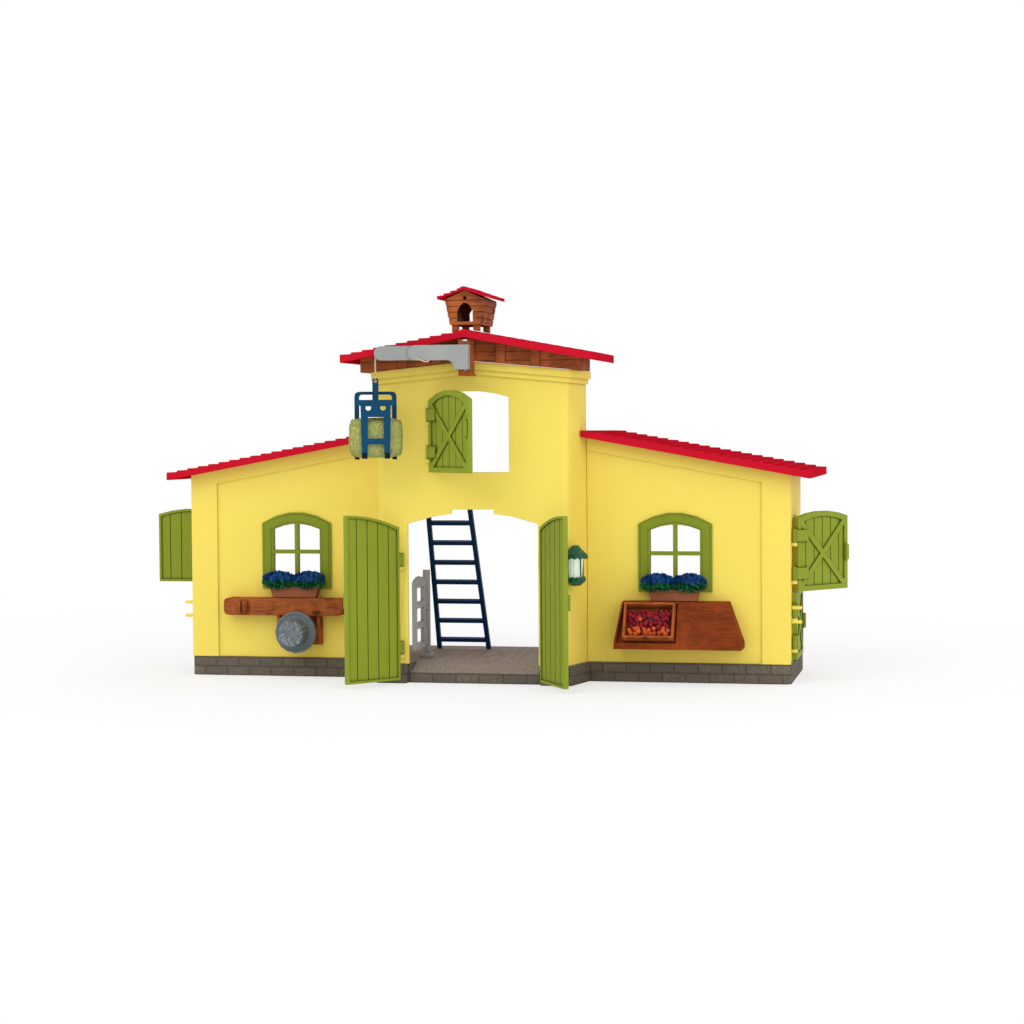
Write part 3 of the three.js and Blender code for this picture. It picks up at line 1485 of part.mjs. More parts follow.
function craneArm() {
  const bottom = craneTop - craneArmHeight;
  const back = craneFront + craneThickness;
  const shape = new THREE.Shape();
  shape.moveTo(craneEndRight, craneEndBottom);
  shape.lineTo(craneEndRight, craneTop);
  shape.lineTo(craneKnuckleX, craneTop);
  shape.absarc(craneKnuckleX, craneAxisZ, craneArmHeight / 2, Math.PI / 2, Math.PI * 3 / 2, false);
  shape.lineTo(craneEndLeft - craneGussetReach, bottom);
  shape.quadraticCurveTo(craneEndLeft, bottom, craneEndLeft, craneEndBottom);
  shape.closePath();
  const inner = swept(shape, craneFront, back, archSegments);
  const linkHalf = craneArmHeight / 2 - seatGap;
  const link = new THREE.Shape();
  link.moveTo(craneKnuckleX, craneAxisZ - linkHalf);
  link.lineTo(craneKnuckleX, craneAxisZ + linkHalf);
  link.lineTo(craneTipX, craneAxisZ + linkHalf);
  link.absarc(craneTipX, craneAxisZ, linkHalf, Math.PI / 2, Math.PI * 3 / 2, false);
  link.closePath();
  const outer = swept(link, craneFront + craneLinkInset, back - craneLinkInset, archSegments);
  const barrelBottom = craneEndBottom + craneEarThickness;
  const barrel = join([
    rodZ(cranePivotX, cranePivotY, craneBarrelRadius, barrelBottom, craneTop, roundSegments),
    block(cranePivotX - craneBarrelRadius, cranePivotX + craneBarrelRadius, back - overlap, cranePivotY,
      barrelBottom, craneTop),
  ]);
  const slot0 = craneMiddleY - craneSlotWidth / 2;
  const slot1 = craneMiddleY + craneSlotWidth / 2;
  const tipSlot = block(craneTipX - craneArmHeight, craneSlotStart, slot0, slot1, bottom - overrun,
    craneTop + overrun);
  const groove = block(craneSlotStart - overlap, craneKnuckleX, slot0, slot1, craneTop - craneGrooveDepth,
    craneTop + overrun);
  const pocket = rodY(craneKnuckleX, craneAxisZ, winchPocketRadius, slot0, slot1, roundSegments);
  const axleBoreHole = rodY(craneKnuckleX, craneAxisZ, winchAxleBore, craneMiddleY, back + overrun);
  const pivotBore = rodZ(cranePivotX, cranePivotY, craneBarrelBore, craneEndBottom - overrun,
    craneTop + overrun);
  const pulleyPin = rodY(craneTipX, craneAxisZ, pulleyPinRadius, slot0 - overlap, slot1 + overlap);
  const solid = cut(join([inner, outer, barrel]), [tipSlot, groove, pocket, axleBoreHole, pivotBore]);
  return solid.add(pulleyPin);
}

function cranePin() {
  const top = craneTop + seatGap + craneEarThickness + seatGap;
  const bottom = craneEndBottom - seatGap - plankGrooveDepth;
  return join([
    rodZ(cranePivotX, cranePivotY, cranePinRadius, bottom, top + overlap),
    rodZ(cranePivotX, cranePivotY, cranePinHeadRadius, top, top + cranePinHeadHeight),
  ]);
}

// A flanged wheel about Y with a round groove for the string.
function groovedWheel(x, z, radius, core, thickness) {
  const half = thickness / 2;
  const profile = [
    [0, -half],
    [radius, -half],
    [radius, -half + wheelFlange],
    [core, -half + wheelFlange],
    [core, half - wheelFlange],
    [radius, half - wheelFlange],
    [radius, half],
    [0, half],
  ].map(([r, h]) => new THREE.Vector2(r, h));
  const geometry = new THREE.LatheGeometry(profile, roundSegments);
  geometry.translate(x, craneMiddleY, z);
  return solidOf(geometry);
}

function tipPulley() {
  return groovedWheel(craneTipX, craneAxisZ, pulleyRadius, pulleyCore, pulleyThickness)
    .subtract(rodY(craneTipX, craneAxisZ, pulleyBore, craneFront, craneFront + craneThickness));
}

function winch() {
  const back = craneFront + craneThickness;
  const drum = groovedWheel(craneKnuckleX, craneAxisZ, winchRadius, winchCore, winchThickness);
  const axle = rodY(craneKnuckleX, craneAxisZ, winchAxleRadius, craneMiddleY, back + seatGap + overlap);
  const crank = rodY(craneKnuckleX, craneAxisZ, crankRadius, back + seatGap, back + seatGap + crankThickness,
    roundSegments);
  const handle = rodY(craneKnuckleX, craneAxisZ + crankRadius - crankHandleRadius - plankGrooveDepth,
    crankHandleRadius, back + crankThickness, back + seatGap + crankThickness + crankHandleLength);
  return join([drum, axle, crank, handle]);
}

// The string from the winch over the tip pulley, down to the arm's underside.
function stringRun() {
  const pulleyReach = pulleyCore + stringRadius + seatGap;
  const winchReach = winchCore + stringRadius + seatGap;
  const at = (x, z) => new THREE.Vector3(x, craneMiddleY, z);
  const start = at(craneKnuckleX, craneAxisZ + winchReach);
  const points = [start, at((craneKnuckleX + craneTipX) / 2, craneAxisZ + (winchReach + pulleyReach) / 2)];
  for (let step = 0; step <= stringTurnSteps; step += 1) {
    const angle = Math.PI / 2 + step * Math.PI / 2 / stringTurnSteps;
    points.push(at(craneTipX + pulleyReach * Math.cos(angle), craneAxisZ + pulleyReach * Math.sin(angle)));
  }
  points.push(at(craneTipX - pulleyReach, craneTop - craneArmHeight));
  const smooth = new THREE.CatmullRomCurve3(points, false, 'centripetal');
  return tube(smooth, stringRadius, 2 * points.length);
}

function tube(curve, radius, steps) {
  const section = new THREE.Shape();
  section.absarc(0, 0, radius, 0, 2 * Math.PI, false);
  const options = { steps, bevelEnabled: false, extrudePath: curve, curveSegments: smallRoundSegments / 2 };
  return solidOf(new THREE.ExtrudeGeometry(section, options));
}

function hoistString() {
  const x = craneTipX - pulleyCore - stringRadius - seatGap;
  return rodZ(x, craneMiddleY, stringRadius, hoistStringBottom, craneTop - craneArmHeight - seatGap);
}

function hoistRing() {
  const geometry = new THREE.TorusGeometry(ringRadius, ringThickness, smallRoundSegments / 2, roundSegments);
  geometry.rotateY(Math.PI / 2);
  geometry.translate(grabX, craneMiddleY, ringMiddle);
  return solidOf(geometry);
}

function grabFrame() {
  const stemFront = craneMiddleY - stemThickness / 2;
  const stemBack = craneMiddleY + stemThickness / 2;
  const half = stemWidth / 2;
  const stem = block(grabX - half, grabX + half, stemFront, stemBack, jawAxisZ - knuckleRadius, stemTop)
    .intersect(swept(outline([
      [grabX - half, jawAxisZ - knuckleRadius],
      [grabX + half, jawAxisZ - knuckleRadius],
      [grabX + half, stemTop, half],
      [grabX - half, stemTop, half],
    ]), stemFront - overrun, stemBack + overrun));
  const eye = rodY(grabX, stemTop - stemEyeDrop, stemEyeRadius, stemFront - overrun, stemBack + overrun);
  const head = block(grabX - headHalfWidth, grabX + headHalfWidth, jawAxisY, stemBack,
    jawAxisZ - knuckleRadius, jawAxisZ + knuckleRadius);
  const knuckle = rodX(jawAxisY, jawAxisZ, knuckleRadius, grabX - headHalfWidth, grabX + headHalfWidth,
    roundSegments);
  const pinHole = rodX(jawAxisY, jawAxisZ, knuckleBore, grabX - forkHalfWidth, grabX + forkHalfWidth);
  const web = block(grabX - half, grabX + half, stemBack - overlap, forkBack - overlap, forkTop - 2 * forkBar,
    forkTop);
  const loopOutline = (inset, low) => outline([
    [grabX - forkHalfWidth + inset, low],
    [grabX + forkHalfWidth - inset, low],
    [grabX + forkHalfWidth - inset, forkTop - Math.min(inset, forkBar), forkCornerRadius - inset / 2],
    [grabX - forkHalfWidth + inset, forkTop - Math.min(inset, forkBar), forkCornerRadius - inset / 2],
  ]);
  const loop = swept(loopOutline(0, forkBottom), forkBack - forkThickness, forkBack)
    .subtract(swept(loopOutline(forkLegWidth, forkBottom - overrun), forkBack - 2 * forkThickness,
      forkBack + overrun));
  return cut(join([stem, head, knuckle, web, loop]), [eye, pinHole]);
}

function grabJaw() {
  const plateBack = jawAxisY - knuckleRadius - seatGap - plankGrooveDepth;
  const plateFront = plateBack - jawThickness;
  const barTop = jawAxisZ + knuckleRadius;
  const barBottom = barTop - jawBarHeight;
  const tine = (side) => outline([
    [grabX + side * (jawTineOffset - jawTineTopWidth / 2), barTop - overlap],
    [grabX + side * (jawTineOffset - jawTineBottomWidth / 2), jawBottom],
    [grabX + side * (jawTineOffset + jawTineBottomWidth / 2), jawBottom],
    [grabX + side * (jawTineOffset + jawTineTopWidth / 2), barTop - overlap],
  ]);
  const plate = join([
    block(grabX - jawBarHalfWidth, grabX + jawBarHalfWidth, plateFront, plateBack, barBottom, barTop),
    swept(tine(-1), plateFront, plateBack),
    swept(tine(1), plateFront, plateBack),
    block(grabX - jawTineOffset, grabX + jawTineOffset, plateFront, plateBack, baleTop, barTop - overlap),
    block(grabX - jawTineOffset, grabX + jawTineOffset, plateFront, plateBack, jawLowerBar - jawBarHeight / 2,
      jawLowerBar + jawBarHeight / 2),
  ]);
  const holeZ = barTop - jawHoleDrop - jawHoleRadius / 2;
  const holes = [-1, 1].map((side) => rodY(grabX + side * jawHoleOffset, holeZ, jawHoleRadius,
    plateFront - overrun, plateBack + overrun));
  const barrels = [-1, 1].map((side) => {
    const inner = grabX + side * (headHalfWidth + seatGap);
    const outer = grabX + side * (jawTineOffset + jawTineTopWidth / 2);
    const x0 = Math.min(inner, outer);
    const x1 = Math.max(inner, outer);
    return join([
      rodX(jawAxisY, jawAxisZ, knuckleRadius, x0, x1, roundSegments),
      block(x0, x1, plateBack - overlap, jawAxisY, jawAxisZ - knuckleRadius, jawAxisZ + knuckleRadius),
    ]);
  });
  const bore = rodX(jawAxisY, jawAxisZ, knuckleBore, grabX - forkHalfWidth, grabX + forkHalfWidth);
  return cut(join([plate.subtract(join(holes)), ...barrels]), [bore]);
}

function jawPin() {
  const reach = jawTineOffset + jawTineTopWidth / 2;
  return rodX(jawAxisY, jawAxisZ, jawPinRadius, grabX - reach, grabX + reach);
}

function hayBale() {
  const front = jawAxisY - knuckleRadius - plankGrooveDepth;
  const back = forkBack - forkThickness - seatGap;
  const corner = baleCorner;
  const shape = outline([
    [-baleHalfWidth + baleBevel, baleBottom + baleBevel, corner],
    [baleHalfWidth - baleBevel, baleBottom + baleBevel, corner],
    [baleHalfWidth - baleBevel, baleTop - baleBevel, corner],
    [-baleHalfWidth + baleBevel, baleTop - baleBevel, corner],
  ]);
  const geometry = new THREE.ExtrudeGeometry(shape, {
    depth: back - front - 2 * baleBevel,
    bevelEnabled: true,
    bevelThickness: baleBevel,
    bevelSize: baleBevel,
    bevelSegments: 3,
    curveSegments: cornerSegments,
  });
  geometry.rotateX(Math.PI / 2);
  geometry.translate(grabX, back - baleBevel, 0);
  return solidOf(geometry);
}

// Assembly

const barn = new THREE.Group();
barn.add(piece('base_plate', basePlate(), stone));
barn.add(piece('tower_wall', towerWall(), yellow));
barn.add(piece('gable_box', gableBox(), brown));
barn.add(piece('king_post', kingPost(), brown));
barn.add(piece('tower_roof', towerRoof(), red));
barn.add(piece('dovecote_body', dovecoteBody(), brown));
barn.add(piece('dovecote_roof', dovecoteRoof(), red));
barn.add(piece('loft_floor', loftFloor(), brown));
barn.add(piece('ladder', ladder(), navy));
barn.add(piece('gate_post', gatePost(), gateGrey));

const gate = piece('stall_gate', stallGate(), gateGrey);
gate.position.set(gateX, gateHingeY(), 0);
barn.add(gate);

const rightWing = wingFront();
const rightRoof = wingRoof();
barn.add(piece('wing_front_right', rightWing, yellow));
barn.add(piece('wing_front_left', mirrored(rightWing), yellow));
barn.add(piece('wing_roof_right', rightRoof, red));
barn.add(piece('wing_roof_left', mirrored(rightRoof), red));

for (const [name, side] of [['right', 1], ['left', -1]]) {
  const frame = piece(`window_frame_${name}`, windowFrame(), windowGreen);
  frame.position.x = side * windowCentre;
  const trough = piece(`flower_box_${name}`, flowerBox(), terracotta, softRoughness);
  trough.position.x = side * windowCentre;
  const growth = piece(`plants_${name}`, plants(), flowers, softRoughness);
  growth.position.x = side * windowCentre;
  barn.add(frame, trough, growth);
}

// The two ends are one moulding; the left one is turned half round.
const lowerBarrels = sideBarrels().slice(0, 2);
const upperBarrels = sideBarrels().slice(2);
const lowerLeaf = sideLeaf(sideLowerBottom, sideLowerTop, sideLowerTop, lowerBarrels);
const upperLeaf = sideLeaf(sideUpperBottom, sideUpperTop, sideUpperCrown, upperBarrels);
for (const [name, side, turn, openDeg] of [
  ['right', 1, 0, rightUpperOpenDeg],
  ['left', -1, Math.PI, leftUpperOpenDeg],
]) {
  const end = new THREE.Group();
  end.position.set(side * barnHalfWidth, sideWallMiddle, 0);
  end.rotation.z = turn;
  end.add(piece(`end_wall_${name}`, endWall(), yellow));
  const lower = piece(`side_door_lower_${name}`, lowerLeaf, green);
  lower.position.set(hingeReach, -sideHingeOffset(), 0);
  lower.rotation.z = Math.PI / 2;
  const upper = piece(`side_door_upper_${name}`, upperLeaf, green);
  upper.position.copy(lower.position);
  upper.rotation.z = Math.PI / 2 - THREE.MathUtils.degToRad(openDeg);
  end.add(lower, upper);
  barn.add(end);
}

const leftLeaf = mainLeaf();
const leftDoor = piece('main_door_left', leftLeaf, green);
leftDoor.position.set(-mainHingeX, -hingeReach, 0);
leftDoor.rotation.z = -THREE.MathUtils.degToRad(leftDoorOpenDeg);
const rightDoor = piece('main_door_right', mirrored(leftLeaf), green);
rightDoor.position.set(mainHingeX, -hingeReach, 0);
rightDoor.rotation.z = THREE.MathUtils.degToRad(rightDoorOpenDeg);
const loftDoor = piece('loft_door', loftLeaf(), green);
loftDoor.position.set(-loftHingeX, -hingeReach, 0);
loftDoor.rotation.z = -THREE.MathUtils.degToRad(loftDoorOpenDeg);
barn.add(leftDoor, rightDoor, loftDoor);

barn.add(piece('tool_board', toolBoard(), brown));
barn.add(piece('grindstone_bracket', grindBracket(), brown));
barn.add(piece('grindstone', grindstone(), grindGrey));
barn.add(piece('produce_stand', produceStand(), standBrown));
barn.add(onStand(piece('produce_crate', crate(), crateBrown)));
barn.add(onStand(piece('produce', produce(), produceRed, softRoughness)));
barn.add(piece('lantern_body', lanternBody(), lanternGreen));
barn.add(piece('lantern_glass', lanternGlass(), lanternLight));

barn.add(piece('crane_arm', craneArm(), craneGrey));
barn.add(piece('crane_pin', cranePin(), steel, metalRoughness, 1));
barn.add(piece('tip_pulley', tipPulley(), craneGrey));
barn.add(piece('winch', winch(), craneGrey));
barn.add(piece('string_run', stringRun(), stringTan, softRoughness));
barn.add(piece('hoist_string', hoistString(), stringTan, softRoughness));

// The grab hangs turned on its string.
const grab = new THREE.Group();
grab.position.set(grabX, grabY, 0);
grab.rotation.z = THREE.MathUtils.degToRad(grabTurnDeg);
for (const hung of [
  piece('hoist_ring', hoistRing(), steel, metalRoughness, 1),
  piece('grab_frame', grabFrame(), grabBlue),
  piece('grab_jaw', grabJaw(), grabBlue),
  piece('jaw_pin', jawPin(), steel, metalRoughness, 1),
  piece('hay_bale', hayBale(), hay, softRoughness),
]) {
  hung.position.set(-grabX, -grabY, 0);
  grab.add(hung);
}
barn.add(grab);

barn.position.y = -(barnBack - plinthMargin) / 2;
const part = new THREE.Group();
part.add(barn);

export default part;
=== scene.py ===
"""Dress the toy barn: a finish for every node, and detailed plants, fruit, bale, string and lantern lobes.

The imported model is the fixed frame. All lengths are in metres, in the frame of the base plate.
"""

import json
import logging
import math
import random
from dataclasses import dataclass
from enum import Enum
from functools import reduce
from typing import Iterable, Sequence

import bmesh
import bpy
from mathutils import Matrix, Vector, noise

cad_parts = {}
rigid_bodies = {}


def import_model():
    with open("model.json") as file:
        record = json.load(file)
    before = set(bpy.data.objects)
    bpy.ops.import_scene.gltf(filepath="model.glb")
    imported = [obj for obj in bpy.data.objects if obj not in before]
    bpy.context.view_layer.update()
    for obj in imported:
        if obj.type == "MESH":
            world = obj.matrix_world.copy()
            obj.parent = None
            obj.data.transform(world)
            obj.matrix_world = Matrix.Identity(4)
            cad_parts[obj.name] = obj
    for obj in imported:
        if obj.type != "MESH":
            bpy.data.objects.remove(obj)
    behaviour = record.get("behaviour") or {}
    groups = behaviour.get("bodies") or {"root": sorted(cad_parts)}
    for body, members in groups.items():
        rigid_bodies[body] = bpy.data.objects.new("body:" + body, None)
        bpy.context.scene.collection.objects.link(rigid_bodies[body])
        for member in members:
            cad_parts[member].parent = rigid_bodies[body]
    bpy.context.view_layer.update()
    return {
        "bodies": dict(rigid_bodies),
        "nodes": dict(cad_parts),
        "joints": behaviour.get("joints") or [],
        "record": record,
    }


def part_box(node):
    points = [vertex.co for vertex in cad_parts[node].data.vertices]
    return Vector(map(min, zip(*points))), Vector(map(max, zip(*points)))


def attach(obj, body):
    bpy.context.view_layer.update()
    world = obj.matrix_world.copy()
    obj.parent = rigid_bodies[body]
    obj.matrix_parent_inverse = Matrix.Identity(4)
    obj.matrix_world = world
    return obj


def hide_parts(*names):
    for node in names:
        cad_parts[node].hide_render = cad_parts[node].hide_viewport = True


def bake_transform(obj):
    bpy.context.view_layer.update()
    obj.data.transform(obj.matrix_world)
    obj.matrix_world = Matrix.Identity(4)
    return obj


log = logging.getLogger("toy_barn")

Colour = tuple[float, float, float, float]
Pair = tuple[float, float]
Triple = tuple[float, float, float]
Mesh = bmesh.types.BMesh

MM = 0.001
WHITE: Colour = (1.0, 1.0, 1.0, 1.0)
SHINE = "Specular IOR Level"


def linear(value: int) -> float:
    """Turn a channel from 0 to 255 into the linear value that a shader takes, by the sRGB standard."""
    share = value / 255
    return share / 12.92 if share <= 0.04045 else ((share + 0.055) / 1.055) ** 2.4


def srgb(red: int, green: int, blue: int) -> Colour:
    """Return the linear colour, with full alpha, of one as the eye reads it."""
    return (linear(red), linear(green), linear(blue), 1.0)


def tinted(colour: Colour, factor: float) -> Colour:
    """Scale a colour's brightness, held under full white, and keep its alpha."""
    return (*(min(1.0, channel * factor) for channel in colour[:3]), colour[3])


class Axis(Enum):
    """The way a grain runs."""

    X = (1.0, 0.0, 0.0)
    Z = (0.0, 0.0, 1.0)


class Side(Enum):
    """The two wings of the barn."""

    LEFT = "left"
    RIGHT = "right"


class Signal:
    """A shader output, whose operators add Math nodes to the same tree."""

    def __init__(self, net: "Net", socket: bpy.types.NodeSocket) -> None:
        """Keep the tree and the socket."""
        self.net = net
        self.socket = socket

    def maths(self, operation: str, first: "Signal | float", second: "Signal | float" = 0.0) -> "Signal":
        """Add one Math node and return its result."""
        return self.net.node("ShaderNodeMath", {"operation": operation}, {0: first, 1: second})

    def __add__(self, other: "Signal | float") -> "Signal":
        """Add a number."""
        return self.maths("ADD", self, other)

    __radd__ = __add__

    def __sub__(self, other: "Signal | float") -> "Signal":
        """Take a number away."""
        return self.maths("SUBTRACT", self, other)

    def __rsub__(self, other: float) -> "Signal":
        """Take away from a number."""
        return self.maths("SUBTRACT", other, self)

    def __mul__(self, other: "Signal | float") -> "Signal":
        """Multiply by a number."""
        return self.maths("MULTIPLY", self, other)

    __rmul__ = __mul__

    def wave(self) -> "Signal":
        """Take the sine."""
        return self.maths("SINE", self)

    def root(self) -> "Signal":
        """Take the square root."""
        return self.maths("SQRT", self)

    def angle(self, across: "Signal") -> "Signal":
        """Return the angle of the point that lies this far up and so far across."""
        return self.maths("ARCTAN2", self, across)

    def about(self, middle: float, swing: float) -> "Signal":
        """Move a noise to another middle, and scale its swing from least to greatest."""
        return middle + (self - 0.5) * swing

    def between(self, low: float, high: float) -> "Signal":
        """Rise smoothly from 0 at low to 1 at high."""
        inputs = {"Value": self, "From Min": low, "From Max": high}
        return self.net.node("ShaderNodeMapRange", {"interpolation_type": "SMOOTHSTEP"}, inputs)

    def beside(self, output: str) -> "Signal":
        """Return another output of the same node."""
        return Signal(self.net, self.socket.node.outputs[output])


class Net:
    """The node tree of one material, or of the world."""

    def __init__(self, owner: bpy.types.Material | bpy.types.World) -> None:
        """Empty the owner's tree and keep it."""
        owner.use_nodes = True
        self.owner = owner
        self.tree = owner.node_tree
        self.tree.nodes.clear()

    def node(self, kind: str, settings: dict, inputs: dict, output: int | str = 0) -> Signal:
        """Add any node.

        Args:
            kind: The node's type.
            settings: Its own settings, set first. The key stops holds a ramp's places and colours.
            inputs: Numbers, colours or signals by socket name or place.
            output: The output to hand back.

        Returns:
            That output, or an empty signal where the node has none.
        """
        made = self.tree.nodes.new(kind)
        for key, value in settings.items():
            if key == "stops":
                ramp = made.color_ramp
                while len(ramp.elements) < len(value):
                    ramp.elements.new(0.5)
                for element, (place, colour) in zip(ramp.elements, value):
                    element.position = place
                    element.color = colour
            else:
                setattr(made, key, value)
        for key, value in inputs.items():
            if isinstance(value, Signal):
                self.tree.links.new(value.socket, made.inputs[key])
            else:
                made.inputs[key].default_value = value
        return Signal(self, made.outputs[output] if made.outputs else None)

    def place(self) -> Signal:
        """Return where a point is on its piece, in metres."""
        return self.node("ShaderNodeTexCoord", {}, {}, "Object")

    def upward(self) -> Signal:
        """Return how far a surface faces up, where 1 is level."""
        return self.parts(self.node("ShaderNodeTexCoord", {}, {}, "Normal"))[2]

    def parts(self, vector: Signal) -> tuple[Signal, Signal, Signal]:
        """Split a vector into its X, Y and Z."""
        first = self.node("ShaderNodeSeparateXYZ", {}, {0: vector})
        return (first, first.beside("Y"), first.beside("Z"))

    def joined(self, x: Signal | float, y: Signal | float, z: Signal | float = 0.0) -> Signal:
        """Make a vector from its X, Y and Z."""
        return self.node("ShaderNodeCombineXYZ", {}, {0: x, 1: y, 2: z})

    def stretched(self, vector: Signal, scale: Triple) -> Signal:
        """Scale a vector by one factor for each axis."""
        return self.node("ShaderNodeVectorMath", {"operation": "MULTIPLY"}, {0: vector, 1: scale})

    def speckle(self, vector: Signal, per_metre: float, detail: float = 2.0) -> Signal:
        """Add soft noise from 0 to 1, with so many blobs a metre and finer layers."""
        inputs = {"Vector": vector, "Scale": per_metre, "Detail": detail, "Roughness": 0.6}
        return self.node("ShaderNodeTexNoise", {}, inputs)

    def blended(self, share: Signal | float, first: Signal | Colour, second: Signal | Colour) -> Signal:
        """Mix two colours: the first where the share is 0, the second where it is 1."""
        return self.node("ShaderNodeMix", {"data_type": "RGBA"}, {0: share, 6: first, 7: second}, 2)

    def open_share(self, reach: float, low: float = 0.3, high: float = 0.95) -> Signal:
        """Return 1 in the open and 0 in the piece's own grooves, as narrow as the reach in metres, by
        occlusion: the finishes paint shade with it.
        """
        settings = {"samples": 4, "only_local": True}
        return self.node("ShaderNodeAmbientOcclusion", settings, {"Distance": reach}, "AO").between(low, high)

    def finish(self, colour: Signal, roughness: Signal | float, relief: Signal, depth: float,
               fixed: dict | None = None) -> None:
        """Close the tree with its shader.

        Args:
            colour: The base colour.
            roughness: The roughness.
            relief: The height that the surface rises and falls by, as a share.
            depth: The height of a share of 1, in metres.
            fixed: Further numbers and colours for the shader's own sockets.
        """
        bump = self.node("ShaderNodeBump", {}, {"Height": relief, "Strength": 1.0, "Distance": depth})
        inputs = {"Base Color": colour, "Roughness": roughness, **(fixed or {}), "Normal": bump}
        self.show(self.node("ShaderNodeBsdfPrincipled", {}, inputs))

    def rays(self, *kinds: str) -> Signal:
        """Return 1 for light of the named kinds and 0 for the rest."""
        found = [self.node("ShaderNodeLightPath", {}, {}, f"Is {kind} Ray") for kind in kinds]
        return reduce(lambda one, other: one.maths("MAXIMUM", one, other), found)

    def show(self, shader: Signal, end: str = "ShaderNodeOutputMaterial") -> None:
        """Show a shader on the surface, or in the world."""
        self.node(end, {}, {"Surface": shader})


@dataclass(frozen=True)
class Finish:
    """The look of one material, made once and shared by its pieces."""

    name: str
    colour: Colour

    def tone(self, factor: float) -> Colour:
        """Return the colour, lighter above 1 and darker below."""
        return tinted(self.colour, factor)

    def fill(self) -> None:
        """Make the material and fill its tree."""
        raise NotImplementedError

    def net(self) -> Net:
        """Return the empty tree of the new material."""
        return Net(bpy.data.materials.new(f"{self.name}_look"))

    def material(self) -> bpy.types.Material:
        """Return the material that the pieces share, and make it the first time.

        Returns:
            The material.
        """
        if f"{self.name}_look" not in bpy.data.materials:
            self.fill()
        return bpy.data.materials[f"{self.name}_look"]


@dataclass(frozen=True)
class MouldedPlastic(Finish):
    """Through-coloured plastic out of a finely spark-eroded mould."""

    roughness: float = 0.48
    grain_per_metre: float = 1500.0
    grain_depth: float = 0.05 * MM
    shade: float = 0.93
    # tone of the painted shade that occlusion puts in grooves
    groove: float = 0.5
    shine: float = 0.12
    dark_foot_height: float = 0.0
    dark_foot_fade: float = 0.8 * MM

    def fill(self) -> None:
        """Fill the tree: slow drift of the colour, a fine grain, painted shade in the grooves and darker
        lower ends.
        """
        net = self.net()
        place = net.place()
        drift = net.speckle(place, per_metre=14.0, detail=3.0).between(0.3, 0.7)
        grain = net.speckle(place, self.grain_per_metre)
        body = net.blended(drift, self.tone(self.shade), self.colour)
        # painted shade: occlusion darkens the colour in grooves and recesses
        colour = net.blended(net.open_share(2.6 * MM, 0.5, 0.97), self.tone(self.groove), body)
        # darker below a given height
        if self.dark_foot_height > 0.0:
            height = net.parts(place)[2].between(self.dark_foot_height, self.dark_foot_height + self.dark_foot_fade)
            colour = net.blended(height, self.tone(0.12), colour)
        rough = grain.about(self.roughness, swing=0.16)
        net.finish(colour, rough, grain, self.grain_depth, {SHINE: self.shine})


@dataclass(frozen=True)
class CarvedWood(Finish):
    """Plastic moulded as boards: raised grain, dark paint washed into it, and painted shade in the grooves.
    """

    along: Axis = Axis.X
    wash_and_groove_shade: float = 0.5
    grain_depth: float = 0.18 * MM
    knots_per_metre: float = 34.0
    bend: float = 4.0 * MM
    knot_bend: float = 0.05

    def drawn_out(self, net: Net, place: Signal, share: float) -> Signal:
        """Squeeze a place along the grain, so that what is read there is drawn out."""
        return net.stretched(place, tuple(1.0 if part == 0.0 else share for part in self.along.value))

    def fill(self) -> None:
        """Fill the tree: long streaks with the grain, knots, and dark grooves, partly the toy's washed-in
        paint and partly painted shade.
        """
        net = self.net()
        place = net.place()
        bend = net.speckle(place, per_metre=45.0)
        x, y, z = net.parts(self.drawn_out(net, place, share=0.07))
        shift = bend * self.bend
        grain = net.speckle(net.joined(x + shift, y + shift, z + shift), per_metre=900.0, detail=4.0)
        blotches = net.speckle(place, per_metre=60.0, detail=3.0).between(0.35, 0.7)
        streaked = net.blended(grain.between(0.36, 0.66), self.tone(self.wash_and_groove_shade), self.colour)
        lit = net.blended(blotches, streaked, self.tone(1.25))
        drawn = self.drawn_out(net, place, share=0.55)
        inputs = {"Vector": drawn, "Scale": self.knots_per_metre, "Randomness": 1.0}
        knots = net.node("ShaderNodeTexVoronoi", {}, inputs, "Distance")
        clear = (knots + bend * self.knot_bend).between(0.1, 0.16)
        knotted = net.blended(clear, self.tone(self.wash_and_groove_shade * 0.5), lit)
        # painted shade, partly the toy's washed-in dark paint: occlusion darkens the grooves
        colour = net.blended(net.open_share(2.0 * MM), self.tone(self.wash_and_groove_shade * 0.6), knotted)
        net.finish(colour, grain.about(0.66, swing=0.3), grain, self.grain_depth, {SHINE: 0.08})


